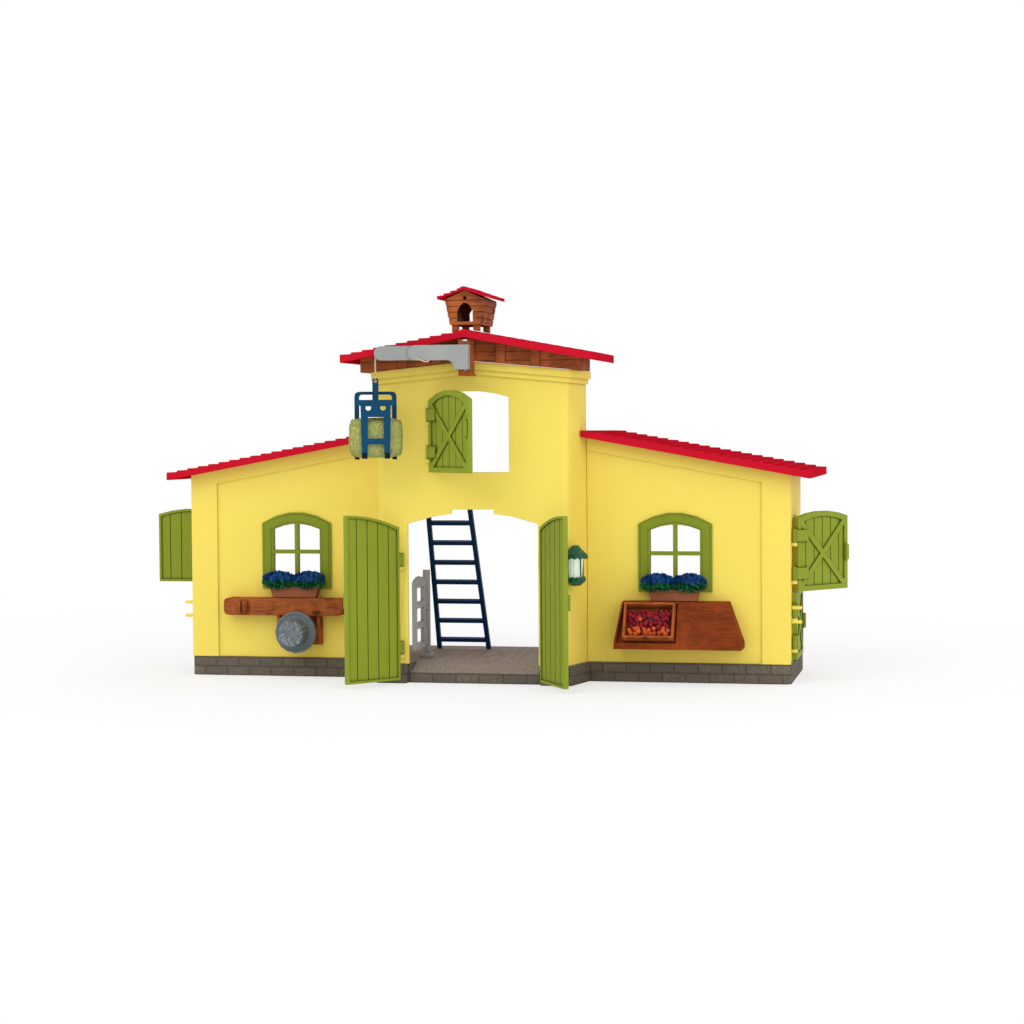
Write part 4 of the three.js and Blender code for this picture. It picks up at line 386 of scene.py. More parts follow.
@dataclass(frozen=True)
class StoneAndPlank(Finish):
    """The base: coursed stone round its sides and a boarded floor on top."""

    floor: Colour = srgb(160, 147, 137)
    pit_relief: float = 0.8
    joint_relief: float = 0.9
    grain_relief: float = 0.6

    def fill(self) -> None:
        """Fill the tree: blocks with joints where the surface is upright, wood grain where it lies flat, and
        painted shade in the grooves.
        """
        net = self.net()
        place = net.place()
        x, y, z = net.parts(place)
        blocks = net.node("ShaderNodeTexBrick", {"offset": 0.5}, {
            "Vector": net.joined(x + y, z), "Scale": 1.0, "Brick Width": 18.8 * MM, "Row Height": 7.4 * MM,
            "Mortar Size": 0.7 * MM, "Mortar Smooth": 0.4, "Color1": self.tone(0.86),
            "Color2": self.tone(1.18), "Mortar": self.tone(0.5),
        })
        pits = net.speckle(place, per_metre=420.0, detail=5.0)
        rock = net.blended(pits.between(0.3, 0.7), self.tone(0.75), blocks)
        grain = net.speckle(net.stretched(place, (1.0, 0.03, 1.0)), per_metre=1100.0, detail=4.0)
        boards = net.blended(grain.between(0.38, 0.62), tinted(self.floor, 0.64), self.floor)
        flat = net.upward().between(0.4, 0.7)
        # painted shade: occlusion darkens joints, grooves and inner corners
        colour = net.blended(net.open_share(2.5 * MM), self.tone(0.42), net.blended(flat, rock, boards))
        stone = pits * self.pit_relief - blocks.beside("Fac") * self.joint_relief
        relief = (1.0 - flat) * stone + flat * grain * self.grain_relief
        net.finish(colour, pits.about(0.78, swing=0.2), relief, 0.4 * MM, {SHINE: 0.1})


@dataclass(frozen=True)
class RoofShingle(Finish):
    """Red plastic moulded as courses of wooden shingles."""

    wobble: float = 1.2 * MM
    grain_relief: float = 0.3

    def fill(self) -> None:
        """Fill the tree: joints between the shingles of a course, with a light grain down each one."""
        net = self.net()
        place = net.place()
        x, y = net.parts(place)[:2]
        wobble = net.speckle(place, per_metre=90.0, detail=1.0) * self.wobble
        tiles = net.node("ShaderNodeTexBrick", {"offset": 0.5}, {
            "Vector": net.joined(y + wobble, x), "Scale": 1.0, "Brick Width": 10.5 * MM,
            "Row Height": 8.7 * MM, "Mortar Size": 0.4 * MM, "Mortar Smooth": 0.3,
            "Color1": self.tone(0.84), "Color2": self.tone(1.12), "Mortar": self.tone(0.4),
        })
        grain = net.speckle(net.stretched(place, (0.08, 1.0, 1.0)), per_metre=1300.0, detail=3.0)
        up = net.upward().between(0.5, 0.8)
        shown = net.blended(grain.between(0.3, 0.7), self.tone(0.85), tiles)
        relief = up * (grain * self.grain_relief - tiles.beside("Fac"))
        colour = net.blended(up, self.colour, shown)
        net.finish(colour, grain.about(0.62, swing=0.2), relief, 0.35 * MM, {SHINE: 0.0})


@dataclass(frozen=True)
class Straw(Finish):
    """Pressed straw with pale stalks over a dull core."""

    fibres_per_metre: float = 2300.0
    drawn: float = 0.12

    def fill(self) -> None:
        """Fill the tree: fine crossing fibres in three tones."""
        net = self.net()
        place = net.place()
        lay = net.speckle(place, per_metre=260.0, detail=4.0)
        upright = net.speckle(net.stretched(place, (1.0, 1.0, self.drawn)), self.fibres_per_metre, detail=4.0)
        level = net.speckle(net.stretched(place, (self.drawn, 1.0, 1.0)), self.fibres_per_metre, detail=4.0)
        fibres = lay * upright + (1.0 - lay) * level
        stops = [(0.32, self.tone(0.4)), (0.5, self.colour), (0.7, self.tone(1.9))]
        colour = net.node("ShaderNodeValToRGB", {"stops": stops}, {"Fac": fibres})
        net.finish(colour, 0.85, fibres, 0.8 * MM, {SHINE: 0.1})


@dataclass(frozen=True)
class GroundStone(Finish):
    """The grindstone, scratched outwards from its axle."""

    scratches: Triple = (7.0, 260.0, 40.0)
    drum_reach: float = 10.4 * MM
    drum_fade: float = 0.2 * MM
    scratch_relief: float = 0.7
    pit_relief: float = 0.15

    def fill(self) -> None:
        """Fill the tree: speckled stone with short scratches round the axle."""
        net = self.net()
        place = net.place()
        x, y, z = net.parts(place)
        axle = middle_of("grindstone")
        across = x - axle.x
        up = z - axle.z
        reach = (across * across + up * up).root()
        spot = net.stretched(net.joined(up.angle(across), reach, y), self.scratches)
        marks = net.speckle(spot, per_metre=1.6, detail=3.0)
        pits = net.speckle(place, per_metre=900.0, detail=4.0)
        mottled = net.blended(pits.between(0.3, 0.72), self.tone(0.75), self.tone(1.1))
        on_drum = 1.0 - reach.between(self.drum_reach - self.drum_fade, self.drum_reach + self.drum_fade)
        scored = net.blended(marks.between(0.5, 0.6), self.tone(0.7), self.tone(1.9))
        relief = on_drum * marks * self.scratch_relief + pits * self.pit_relief
        net.finish(net.blended(on_drum, mottled, scored), 0.74, relief, 0.4 * MM)


@dataclass(frozen=True)
class LitGlass(Finish):
    """The lantern's glass, fluted, with a painted glow as though lit from inside."""

    shadow: Colour = srgb(214, 232, 214)
    flutes: float = 12.0

    def fill(self) -> None:
        """Fill the tree: upright flutes with painted shadow in their hollows, over a painted glow."""
        net = self.net()
        place = net.place()
        x, y = net.parts(place)[:2]
        centre = middle_of("lantern_glass")
        angle = (y - centre.y).angle(x - centre.x)
        flutes = (angle * self.flutes).wave() * 0.5 + 0.5
        haze = net.speckle(place, per_metre=320.0, detail=3.0).between(0.35, 0.7)
        colour = net.blended(haze * flutes, self.shadow, self.colour)
        # painted glow: the glass gives off its own colour, though the lantern holds no lamp
        fixed = {"Coat Weight": 0.6, "Coat Roughness": 0.06, "IOR": 1.49, "Emission Strength": 0.32}
        net.finish(colour, 0.12, flutes, 0.3 * MM, {**fixed, "Emission Color": colour})


@dataclass(frozen=True)
class PinSteel(Finish):
    """Drawn steel wire, as the pins and the ring are."""

    def fill(self) -> None:
        """Fill the tree: long drawing marks and light scuffs."""
        net = self.net()
        place = net.place()
        marks = net.speckle(net.stretched(place, (1.0, 1.0, 0.1)), per_metre=4200.0)
        scuffs = net.speckle(place, per_metre=800.0, detail=4.0).between(0.45, 0.75)
        colour = net.blended(scuffs, self.colour, self.tone(0.7))
        net.finish(colour, marks.about(0.37, swing=0.22), marks, 0.03 * MM, {"Metallic": 1.0})


@dataclass(frozen=True)
class TwistedYarn(Finish):
    """Spun cotton of the hoist string."""

    def fill(self) -> None:
        """Fill the tree: fine fibres with painted shade in the hollows between the strands."""
        net = self.net()
        fibres = net.speckle(net.place(), per_metre=5200.0, detail=3.0)
        body = net.blended(fibres.between(0.3, 0.7), self.tone(0.75), self.tone(1.1))
        # painted shade: occlusion darkens the hollows between the strands
        colour = net.blended(net.open_share(0.6 * MM, 0.3, 0.9), self.tone(0.45), body)
        net.finish(colour, 0.9, fibres, 0.06 * MM, {"Sheen Weight": 0.4, "Sheen Roughness": 0.5})


@dataclass(frozen=True)
class Growth(Finish):
    """Soft plastic of leaves, petals and fruit, with each one a little different."""

    second: Colour = WHITE
    roughness: float = 0.55

    def fill(self) -> None:
        """Fill the tree: patches of two tones, a fine skin, and painted shade where the pieces crowd."""
        net = self.net()
        place = net.place()
        patches = net.speckle(place, per_metre=260.0).between(0.38, 0.62)
        skin = net.speckle(place, per_metre=2600.0)
        body = net.blended(patches, self.second, self.colour)
        # painted shade: occlusion darkens the colour between leaves, petals and fruit
        colour = net.blended(net.open_share(1.2 * MM, 0.2, 0.9), tinted(self.second, 0.5), body)
        net.finish(colour, skin.about(self.roughness, swing=0.2), skin, 0.08 * MM, {SHINE: 0.2})


WALL = MouldedPlastic(
    "wall_yellow", srgb(243, 220, 99), roughness=0.56, grain_per_metre=900.0, shade=0.98, groove=0.74)
DOOR = MouldedPlastic("door_green", srgb(141, 155, 46), roughness=0.52, groove=0.25)
WINDOW = MouldedPlastic("window_green", srgb(128, 141, 38), roughness=0.52)
ROOF = RoofShingle("roof_red", srgb(196, 24, 44))
BOARDS = CarvedWood("gable_boards", srgb(156, 84, 44))
POST = CarvedWood("post_wood", srgb(164, 88, 48), along=Axis.Z)
STAND = CarvedWood("stand_wood", srgb(132, 58, 22), wash_and_groove_shade=0.62, grain_depth=0.1 * MM, knots_per_metre=24.0)
CRATE = CarvedWood("crate_wood", srgb(170, 88, 44), grain_depth=0.12 * MM, knots_per_metre=90.0)
LOFT = CarvedWood("loft_boards", srgb(160, 100, 62), grain_depth=0.14 * MM)
CLAY = MouldedPlastic(
    "terracotta", srgb(152, 90, 62), roughness=0.74, grain_per_metre=700.0, grain_depth=0.12 * MM, shade=0.82)
CRANE = MouldedPlastic("crane_grey", srgb(160, 162, 160), roughness=0.5, grain_per_metre=800.0,
                       grain_depth=0.08 * MM, shade=0.84)
GRAB = MouldedPlastic("grab_blue", srgb(4, 70, 106), shade=0.85, dark_foot_height=181.0 * MM)
LADDER = MouldedPlastic("ladder_navy", srgb(4, 50, 102), roughness=0.46, shade=0.86)
GATE = MouldedPlastic(
    "gate_grey", srgb(176, 178, 182), roughness=0.6, grain_per_metre=500.0, grain_depth=0.12 * MM, shade=0.8)
LANTERN = MouldedPlastic("lantern_green", srgb(12, 92, 66), roughness=0.42, shade=0.82, shine=0.4)
BASE = StoneAndPlank("stone_and_plank", srgb(112, 103, 92))
BALE = Straw("pressed_straw", srgb(164, 168, 98))
GRIND = GroundStone("ground_stone", srgb(108, 118, 124))
GLASS = LitGlass("lit_glass", srgb(246, 250, 240))
STEEL = PinSteel("pin_steel", srgb(205, 206, 208))
YARN = TwistedYarn("hoist_yarn", srgb(216, 196, 160))
LEAF = Growth("leaf_green", srgb(22, 116, 66), second=srgb(4, 76, 52))
PETAL = Growth("petal_blue", srgb(16, 84, 156), second=srgb(8, 46, 100), roughness=0.6)
RIPE = Growth("ripe_red", srgb(160, 18, 34), second=srgb(96, 12, 34), roughness=0.36)
ORANGE = Growth("fruit_orange", srgb(220, 104, 40), second=srgb(196, 70, 30), roughness=0.42)

FINISHED_NODES: dict[Finish, str] = {
    BASE: "base_plate",
    WALL: "tower_wall wing_front_left wing_front_right end_wall_left end_wall_right",
    BOARDS: "gable_box dovecote_body tool_board grindstone_bracket",
    POST: "king_post",
    ROOF: "tower_roof dovecote_roof wing_roof_left wing_roof_right",
    LOFT: "loft_floor",
    LADDER: "ladder",
    GATE: "gate_post stall_gate",
    DOOR: "main_door_left main_door_right loft_door side_door_lower_left side_door_lower_right "
          "side_door_upper_left side_door_upper_right",
    WINDOW: "window_frame_left window_frame_right",
    CLAY: "flower_box_left flower_box_right",
    LEAF: "plants_left plants_right",
    GRIND: "grindstone",
    STAND: "produce_stand",
    CRATE: "produce_crate",
    RIPE: "produce",
    LANTERN: "lantern_body",
    GLASS: "lantern_glass",
    CRANE: "crane_arm tip_pulley winch",
    STEEL: "crane_pin hoist_ring jaw_pin",
    YARN: "string_run hoist_string",
    GRAB: "grab_frame grab_jaw",
    BALE: "hay_bale",
}
NODE_FINISHES = {name: finish for finish, names in FINISHED_NODES.items() for name in names.split()}


def middle_of(node: str) -> Vector:
    """Return the middle of a node's box."""
    low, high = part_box(node)
    return (low + high) / 2


def scaled(point: Sequence[float], sizes: Sequence[float]) -> Vector:
    """Return a point with each part scaled by its own size."""
    return Vector([part * size for part, size in zip(point, sizes)])


def shares(point: Sequence[float], sizes: Sequence[float]) -> Vector:
    """Return a point with each part as a share of its own size."""
    return Vector([part / size for part, size in zip(point, sizes)])


def beside(way: Vector, roll: float) -> Vector:
    """Return a direction square to a way, rolled about it."""
    across = way.orthogonal().normalized()
    across.rotate(Matrix.Rotation(roll, 3, way))
    return across


def faces_of(made: dict) -> set[bmesh.types.BMFace]:
    """Return the faces round the vertices that an operator made."""
    return {face for vertex in made["verts"] for face in vertex.link_faces}


def linked(name: str, data: bpy.types.ID) -> bpy.types.Object:
    """Make an object of its data and link it to the scene."""
    made = bpy.data.objects.new(name, data)
    bpy.context.scene.collection.objects.link(made)
    return made


def made_object(name: str, mesh: Mesh, looks: Iterable[bpy.types.Material]) -> bpy.types.Object:
    """Turn worked-up faces into a smoothly shaded object.

    Args:
        name: The piece's name.
        mesh: Its faces, whose material places follow the looks.
        looks: Its materials in order.

    Returns:
        The new object, linked to the scene.
    """
    data = bpy.data.meshes.new(name)
    mesh.to_mesh(data)
    mesh.free()
    data.shade_smooth()
    for look in looks:
        data.materials.append(look)
    return linked(name, data)


@dataclass
class Mouldings:
    """Every moulded node that keeps its own shape: softened edges and a finish."""

    edge: float = 0.35 * MM
    fine_edge: float = 0.15 * MM
    fine_nodes: tuple[str, ...] = (
        "lantern_body", "lantern_glass", "tip_pulley", "winch", "hoist_ring", "jaw_pin", "crane_pin",
        "string_run", "hoist_string", "produce_crate", "ladder", "stall_gate", "gate_post",
    )

    def soften(self, node: bpy.types.Object, width: float) -> None:
        """Round the edges by a small bevel, as a mould leaves them.

        Args:
            node: The node to work on.
            width: The bevel's width, in metres.
        """
        weld = node.modifiers.new("joined_faces", "WELD")
        weld.merge_threshold = 0.005 * MM
        bevel = node.modifiers.new("mould_radius", "BEVEL")
        bevel.width = width
        bevel.segments = 2
        bevel.limit_method = "ANGLE"
        bevel.angle_limit = math.radians(38)
        bevel.use_clamp_overlap = True
        bevel.harden_normals = True

    def dress(self, nodes: dict[str, bpy.types.Object]) -> None:
        """Give each node its finish, and soften the ones that are seen.

        Args:
            nodes: The frame's nodes by name.
        """
        for name, node in nodes.items():
            node.data.materials.clear()
            node.data.materials.append(NODE_FINISHES[name].material())
            if not node.hide_render:
                self.soften(node, self.fine_edge if name in self.fine_nodes else self.edge)
        log.info("mouldings: %d nodes dressed", len(nodes))


@dataclass
class WindowPlanting:
    """Leaves and blossoms that fill one window box, as two mounds."""

    side: Side
    reach: Triple = (13.2 * MM, 5.4 * MM, 5.2 * MM)
    apart: float = 12.2 * MM
    headroom: float = 1.6 * MM
    back_gap: float = 1.2 * MM
    lump_scales: Pair = (360.0, 900.0)
    lump: float = 1.5 * MM
    root_depth: float = 0.88
    merged: float = 0.8
    bloom_low: float = -0.05
    leaf_high: float = 0.25
    leaves: int = 460
    leaf_length: float = 4.4 * MM
    leaf_width: float = 2.4 * MM
    leaf_rows: tuple[Triple, ...] = ((0.0, 0.25, 0.0), (0.35, 1.0, 0.14), (0.7, 0.8, 0.1), (1.0, 0.0, -0.12))
    leaf_fold: float = 0.45
    leaf_sizes: Pair = (0.7, 1.2)
    leaf_sink: float = 0.5 * MM
    droop: Triple = (0.0, -0.3, -0.9)
    blossoms: int = 560
    blossom: float = 1.4 * MM
    blossom_sizes: Pair = (0.7, 1.3)
    stem: Pair = (0.3 * MM, 1.9 * MM)
    nod: float = 0.5
    petals: int = 5
    petal: tuple[Triple, ...] = ((0.62, -0.5, 0.2), (1.1, -0.22, 0.42), (1.1, 0.22, 0.42), (0.62, 0.5, 0.2))
    eye_height: float = 0.25

    def centres(self) -> list[Vector]:
        """Return the middles of the two mounds."""
        low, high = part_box(f"plants_{self.side.value}")
        x, y = ((low + high) / 2).xy
        z = high.z - self.reach[2] - self.headroom
        return [Vector((x + side * self.apart, y, z)) for side in (-1.0, 1.0)]

    def leaf(self, mesh: Mesh, root: Vector, away: Vector, roll: float, scale: float) -> None:
        """Add one folded, pointed leaf.

        Args:
            mesh: The mesh to add to.
            root: Where it starts.
            away: The way it points.
            roll: Its turn about that way, in radians.
            scale: Its size against the usual leaf.
        """
        across = beside(away, roll)
        fold = away.cross(across).normalized()
        length = self.leaf_length * scale
        half = self.leaf_width * scale / 2
        rows = []
        for share, width, lift in self.leaf_rows:
            middle = root + away * length * share + fold * length * lift
            edge = across * half * width
            rise = fold * half * width * self.leaf_fold
            rows.append([mesh.verts.new(p) for p in (middle - edge + rise, middle, middle + edge + rise)])
        for before, after in zip(rows, rows[1:]):
            for column in (0, 1):
                mesh.faces.new((before[column], before[column + 1], after[column + 1], after[column]))

    def flower(self, mesh: Mesh, middle: Vector, away: Vector, roll: float, scale: float) -> None:
        """Add one open blossom, its petals round a small eye.

        Args:
            mesh: The mesh to add to.
            middle: The blossom's middle.
            away: The way it faces.
            roll: Its turn about that way, in radians.
            scale: Its size against the usual blossom.
        """
        across = beside(away, roll)
        radius = self.blossom * scale
        eye = mesh.verts.new(middle + away * radius * self.eye_height)
        for petal in range(self.petals):
            out = Matrix.Rotation(petal * math.tau / self.petals, 3, away) @ across
            side = away.cross(out)
            rim = [mesh.verts.new(middle + out * radius * far + side * radius * wide + away * radius * high)
                   for far, wide, high in self.petal]
            for first, second in zip(rim, rim[1:]):
                mesh.faces.new((eye, first, second)).material_index = 1

    def mounds(self, mesh: Mesh) -> None:
        """Add the dense middles that leaves and blossoms grow on, blue above and green below.

        Args:
            mesh: The mesh to add to.
        """
        broad, fine = self.lump_scales
        for centre in self.centres():
            made = bmesh.ops.create_icosphere(mesh, subdivisions=4, radius=0.86)
            for vertex in made["verts"]:
                place = centre + scaled(vertex.co, self.reach)
                push = noise.noise(place * broad) + noise.noise(place * fine) / 2
                vertex.co = place + (place - centre).normalized() * push * self.lump
            for face in faces_of(made):
                low = centre.z + self.bloom_low * self.reach[2]
                face.material_index = int(face.calc_center_median().z > low)

    def build(self) -> None:
        """Grow the box's plants, clear of the wall and of each other, and hang them on the barn."""
        chance = random.Random(71 if self.side is Side.LEFT else 83)
        mesh = bmesh.new()
        self.mounds(mesh)
        centres = self.centres()
        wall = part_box(f"plants_{self.side.value}")[1].y
        for index in range(self.leaves + self.blossoms):
            flowering = index >= self.leaves
            centre = chance.choice(centres)
            up = chance.uniform(self.bloom_low, 1.0) if flowering else chance.uniform(-1.0, self.leaf_high)
            turn = chance.uniform(0.0, math.tau)
            flat = math.sqrt(max(0.0, 1.0 - up * up))
            skin = scaled((flat * math.cos(turn), flat * math.sin(turn), up), self.reach)
            root = centre + skin * self.root_depth
            others = [other for other in centres if other is not centre]
            if any(shares(root - other, self.reach).length < self.merged for other in others):
                continue
            if root.y > wall - self.back_gap:
                continue
            out = skin.normalized()
            roll = chance.uniform(0.0, math.tau)
            if flowering:
                tilt = (out + Vector([chance.uniform(-self.nod, self.nod) for _ in range(3)])).normalized()
                middle = root + out * chance.uniform(*self.stem)
                self.flower(mesh, middle, tilt, roll, chance.uniform(*self.blossom_sizes))
            else:
                hang = (out + Vector(self.droop)).normalized()
                self.leaf(mesh, root - out * self.leaf_sink, hang, roll, chance.uniform(*self.leaf_sizes))
        made = made_object(f"planting_{self.side.value}", mesh, (LEAF.material(), PETAL.material()))
        thick = made.modifiers.new("leaf_thickness", "SOLIDIFY")
        thick.thickness = 0.18 * MM
        thick.offset = 0.0
        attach(made, "barn")
        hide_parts(f"plants_{self.side.value}")
        log.info("%s: %d leaves and blossoms tried", made.name, self.leaves + self.blossoms)


@dataclass
class ProduceHeap:
    """Red and orange fruit in the crate on the stand."""

    lean: Triple = (0.0, 0.4356, 0.9002)
    half_length: float = 9.2 * MM
    dome: float = 2.6 * MM
    lift: Pair = (-0.8 * MM, 0.4 * MM)
    fruits: int = 66
    tries: int = 14
    radius: float = 2.3 * MM
    sizes: Pair = (0.8, 1.15)
    most_turn: float = 2.4
    squash: float = 0.92
    dimple: Pair = (0.5, 0.55)
    stalk: tuple[float, float, float, float] = (0.09, 0.13, 0.7, 0.62)
    orange_end: float = -0.5
    stray_orange: float = 0.06

    def fruit(self, mesh: Mesh, middle: Vector, radius: float, turn: float, place: int) -> None:
        """Add one fruit with a dimple and a stalk.

        Args:
            mesh: The mesh to add to.
            middle: Its middle.
            radius: Its radius.
            turn: How far it is rolled over, in radians.
            place: The place of its finish.
        """
        axis = Vector((math.cos(turn), math.sin(turn), 0.4)).normalized()
        base = Matrix.Translation(middle) @ Matrix.Rotation(turn, 4, axis)
        made = bmesh.ops.create_uvsphere(mesh, u_segments=16, v_segments=12, radius=radius)
        width, depth = self.dimple
        for vertex in made["verts"]:
            share = max(0.0, vertex.co.z / radius)
            ring = math.hypot(vertex.co.x, vertex.co.y) / radius
            vertex.co.z -= radius * depth * max(0.0, 1.0 - ring / width) ** 2 * share
            vertex.co.z *= self.squash
        bmesh.ops.transform(mesh, matrix=base, verts=made["verts"])
        for face in faces_of(made):
            face.material_index = place
        foot, tip, length, height = (radius * share for share in self.stalk)
        stalk = base @ Matrix.Translation((0.0, 0.0, height))
        rod = bmesh.ops.create_cone(mesh, cap_ends=True, segments=6, radius1=foot, radius2=tip, depth=length,
                                    matrix=stalk)
        for face in faces_of(rod):
            face.material_index = 2

    def build(self) -> None:
        """Heap the fruit in the crate."""
        chance = random.Random(29)
        low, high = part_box("produce")
        slope = Vector(self.lean)
        outward = Vector((0.0, -slope.z, slope.y))
        middle = (low + high) / 2
        half_width = (high.x - low.x) / 2 - self.radius
        mesh = bmesh.new()
        laid: list[Pair] = []
        for _ in range(self.fruits):
            spots = [tuple(chance.uniform(-half, half) for half in (half_width, self.half_length))
                     for _ in range(self.tries)]
            best = max(spots, key=lambda spot: min((math.dist(spot, other) for other in laid), default=0.0))
            laid.append(best)
            across, along = best
            crown = (1.0 - (across / half_width) ** 2) * (1.0 - (along / self.half_length) ** 2)
            rise = self.dome * crown + chance.uniform(*self.lift)
            centre = middle + Vector((across, 0.0, 0.0)) + slope * along + outward * rise
            place = int(along < self.orange_end * self.half_length or chance.random() < self.stray_orange)
            radius = self.radius * chance.uniform(*self.sizes)
            self.fruit(mesh, centre, radius, chance.uniform(0.0, self.most_turn), place)
        made = made_object("produce_heap", mesh, (RIPE.material(), ORANGE.material(), LEAF.material()))
        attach(made, "barn")
        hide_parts("produce")
        log.info("produce_heap: %d fruits", self.fruits)


@dataclass
class LanternScallops:
    """The round lobes along the lantern's cap and its lower cup."""

    cap_radius: float = 9.0 * MM
    cap_lobes: int = 13
    cap_rise: float = 0.6 * MM
    cup_radius: float = 7.2 * MM
    cup_lobes: int = 11
    cup_drop: float = 1.0 * MM
    lobe: Triple = (0.9 * MM, 2.1 * MM, 1.7 * MM)

    def ring(self, mesh: Mesh, height: float, radius: float, lobes: int) -> None:
        """Add one ring of lobes.

        Args:
            mesh: The mesh to add to.
            height: How high it lies.
            radius: The ring's radius.
            lobes: How many lobes it has.
        """
        middle = middle_of("lantern_glass")
        centre = Matrix.Translation((middle.x, middle.y, height))
        shape = Matrix.Translation((radius, 0.0, 0.0)) @ Matrix.Diagonal((*self.lobe, 1.0))
        for index in range(lobes):
            place = centre @ Matrix.Rotation(math.tau * index / lobes, 4, "Z") @ shape
            bmesh.ops.create_icosphere(mesh, subdivisions=3, radius=1.0, matrix=place)

    def build(self) -> None:
        """Set both rings against the lantern."""
        low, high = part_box("lantern_glass")
        mesh = bmesh.new()
        self.ring(mesh, high.z + self.cap_rise, self.cap_radius, self.cap_lobes)
        self.ring(mesh, low.z - self.cup_drop, self.cup_radius, self.cup_lobes)
        made = made_object("lantern_scallops", mesh, (LANTERN.material(),))
        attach(made, "barn")
        log.info("lantern_scallops: %d lobes", self.cap_lobes + self.cup_lobes)


@dataclass
class StrawBale:
    """The bale that the grab carries, with loose stalks on its faces."""

    half: Triple = (21.0 * MM, 10.3 * MM, 15.7 * MM)
    turn: float = math.radians(15.7)
    squareness: float = 4.5
    tuft_scale: Triple = (900.0, 900.0, 260.0)
    lump_scale: float = 190.0
    sink: float = 0.55 * MM
    rough: float = 0.35 * MM
    stalks: int = 520
    stalk_length: float = 4.6 * MM
    stalk_lengths: Pair = (0.5, 1.0)
    stalk_radius: float = 0.17 * MM
    stalk_sink: float = 0.05 * MM
    upright: float = 1.8

    def rounded(self, share: Vector) -> Vector:
        """Pull a point of the cube's skin in to a softly squared block."""
        return share / sum(abs(part) ** self.squareness for part in share) ** (1.0 / self.squareness)

    def stalk(self, mesh: Mesh, root: Vector, chance: random.Random) -> None:
        """Lay one stalk along the surface.

        Args:
            mesh: The mesh to add to.
            root: A point of the surface, from the bale's middle.
            chance: The source of chance.
        """
        share = shares(root, self.half)
        face = max(range(3), key=lambda part: abs(share[part]))
        outward = Vector([math.copysign(1.0, share[part]) if part == face else 0.0 for part in range(3)])
        along = Vector([chance.uniform(-1.0, 1.0) for _ in range(3)])
        along.z *= self.upright
        along = (along - outward * along.dot(outward)).normalized()
        length = self.stalk_length * chance.uniform(*self.stalk_lengths)
        turn = along.to_track_quat("Z", "Y").to_matrix().to_4x4()
        place = Matrix.Translation(root - outward * self.stalk_sink) @ turn
        bmesh.ops.create_cone(mesh, cap_ends=True, segments=4, radius1=self.stalk_radius,
                              radius2=self.stalk_radius, depth=length, matrix=place)

    def build(self) -> None:
        """Press the bale and lay stalks on it."""
        chance = random.Random(47)
        mesh = bmesh.new()
        bmesh.ops.create_cube(mesh, size=2.0)
        bmesh.ops.subdivide_edges(mesh, edges=mesh.edges[:], cuts=30, use_grid_fill=True)
        for vertex in mesh.verts:
            place = scaled(self.rounded(vertex.co), self.half)
            tufts = noise.noise(scaled(place, self.tuft_scale))
            lumps = noise.noise(place * self.lump_scale)
            sink = self.sink + self.rough * tufts + self.rough * lumps
            vertex.co = place - place.normalized() * sink
        surface = [face.calc_center_median() for face in mesh.faces]
        for _ in range(self.stalks):
            self.stalk(mesh, chance.choice(surface), chance)
        place = Matrix.Translation(middle_of("hay_bale")) @ Matrix.Rotation(self.turn, 4, "Z")
        bmesh.ops.transform(mesh, matrix=place, verts=mesh.verts[:])
        made = made_object("straw_bale", mesh, (BALE.material(),))
        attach(made, "grab")
        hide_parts("hay_bale")
        log.info("straw_bale: %d stalks", self.stalks)


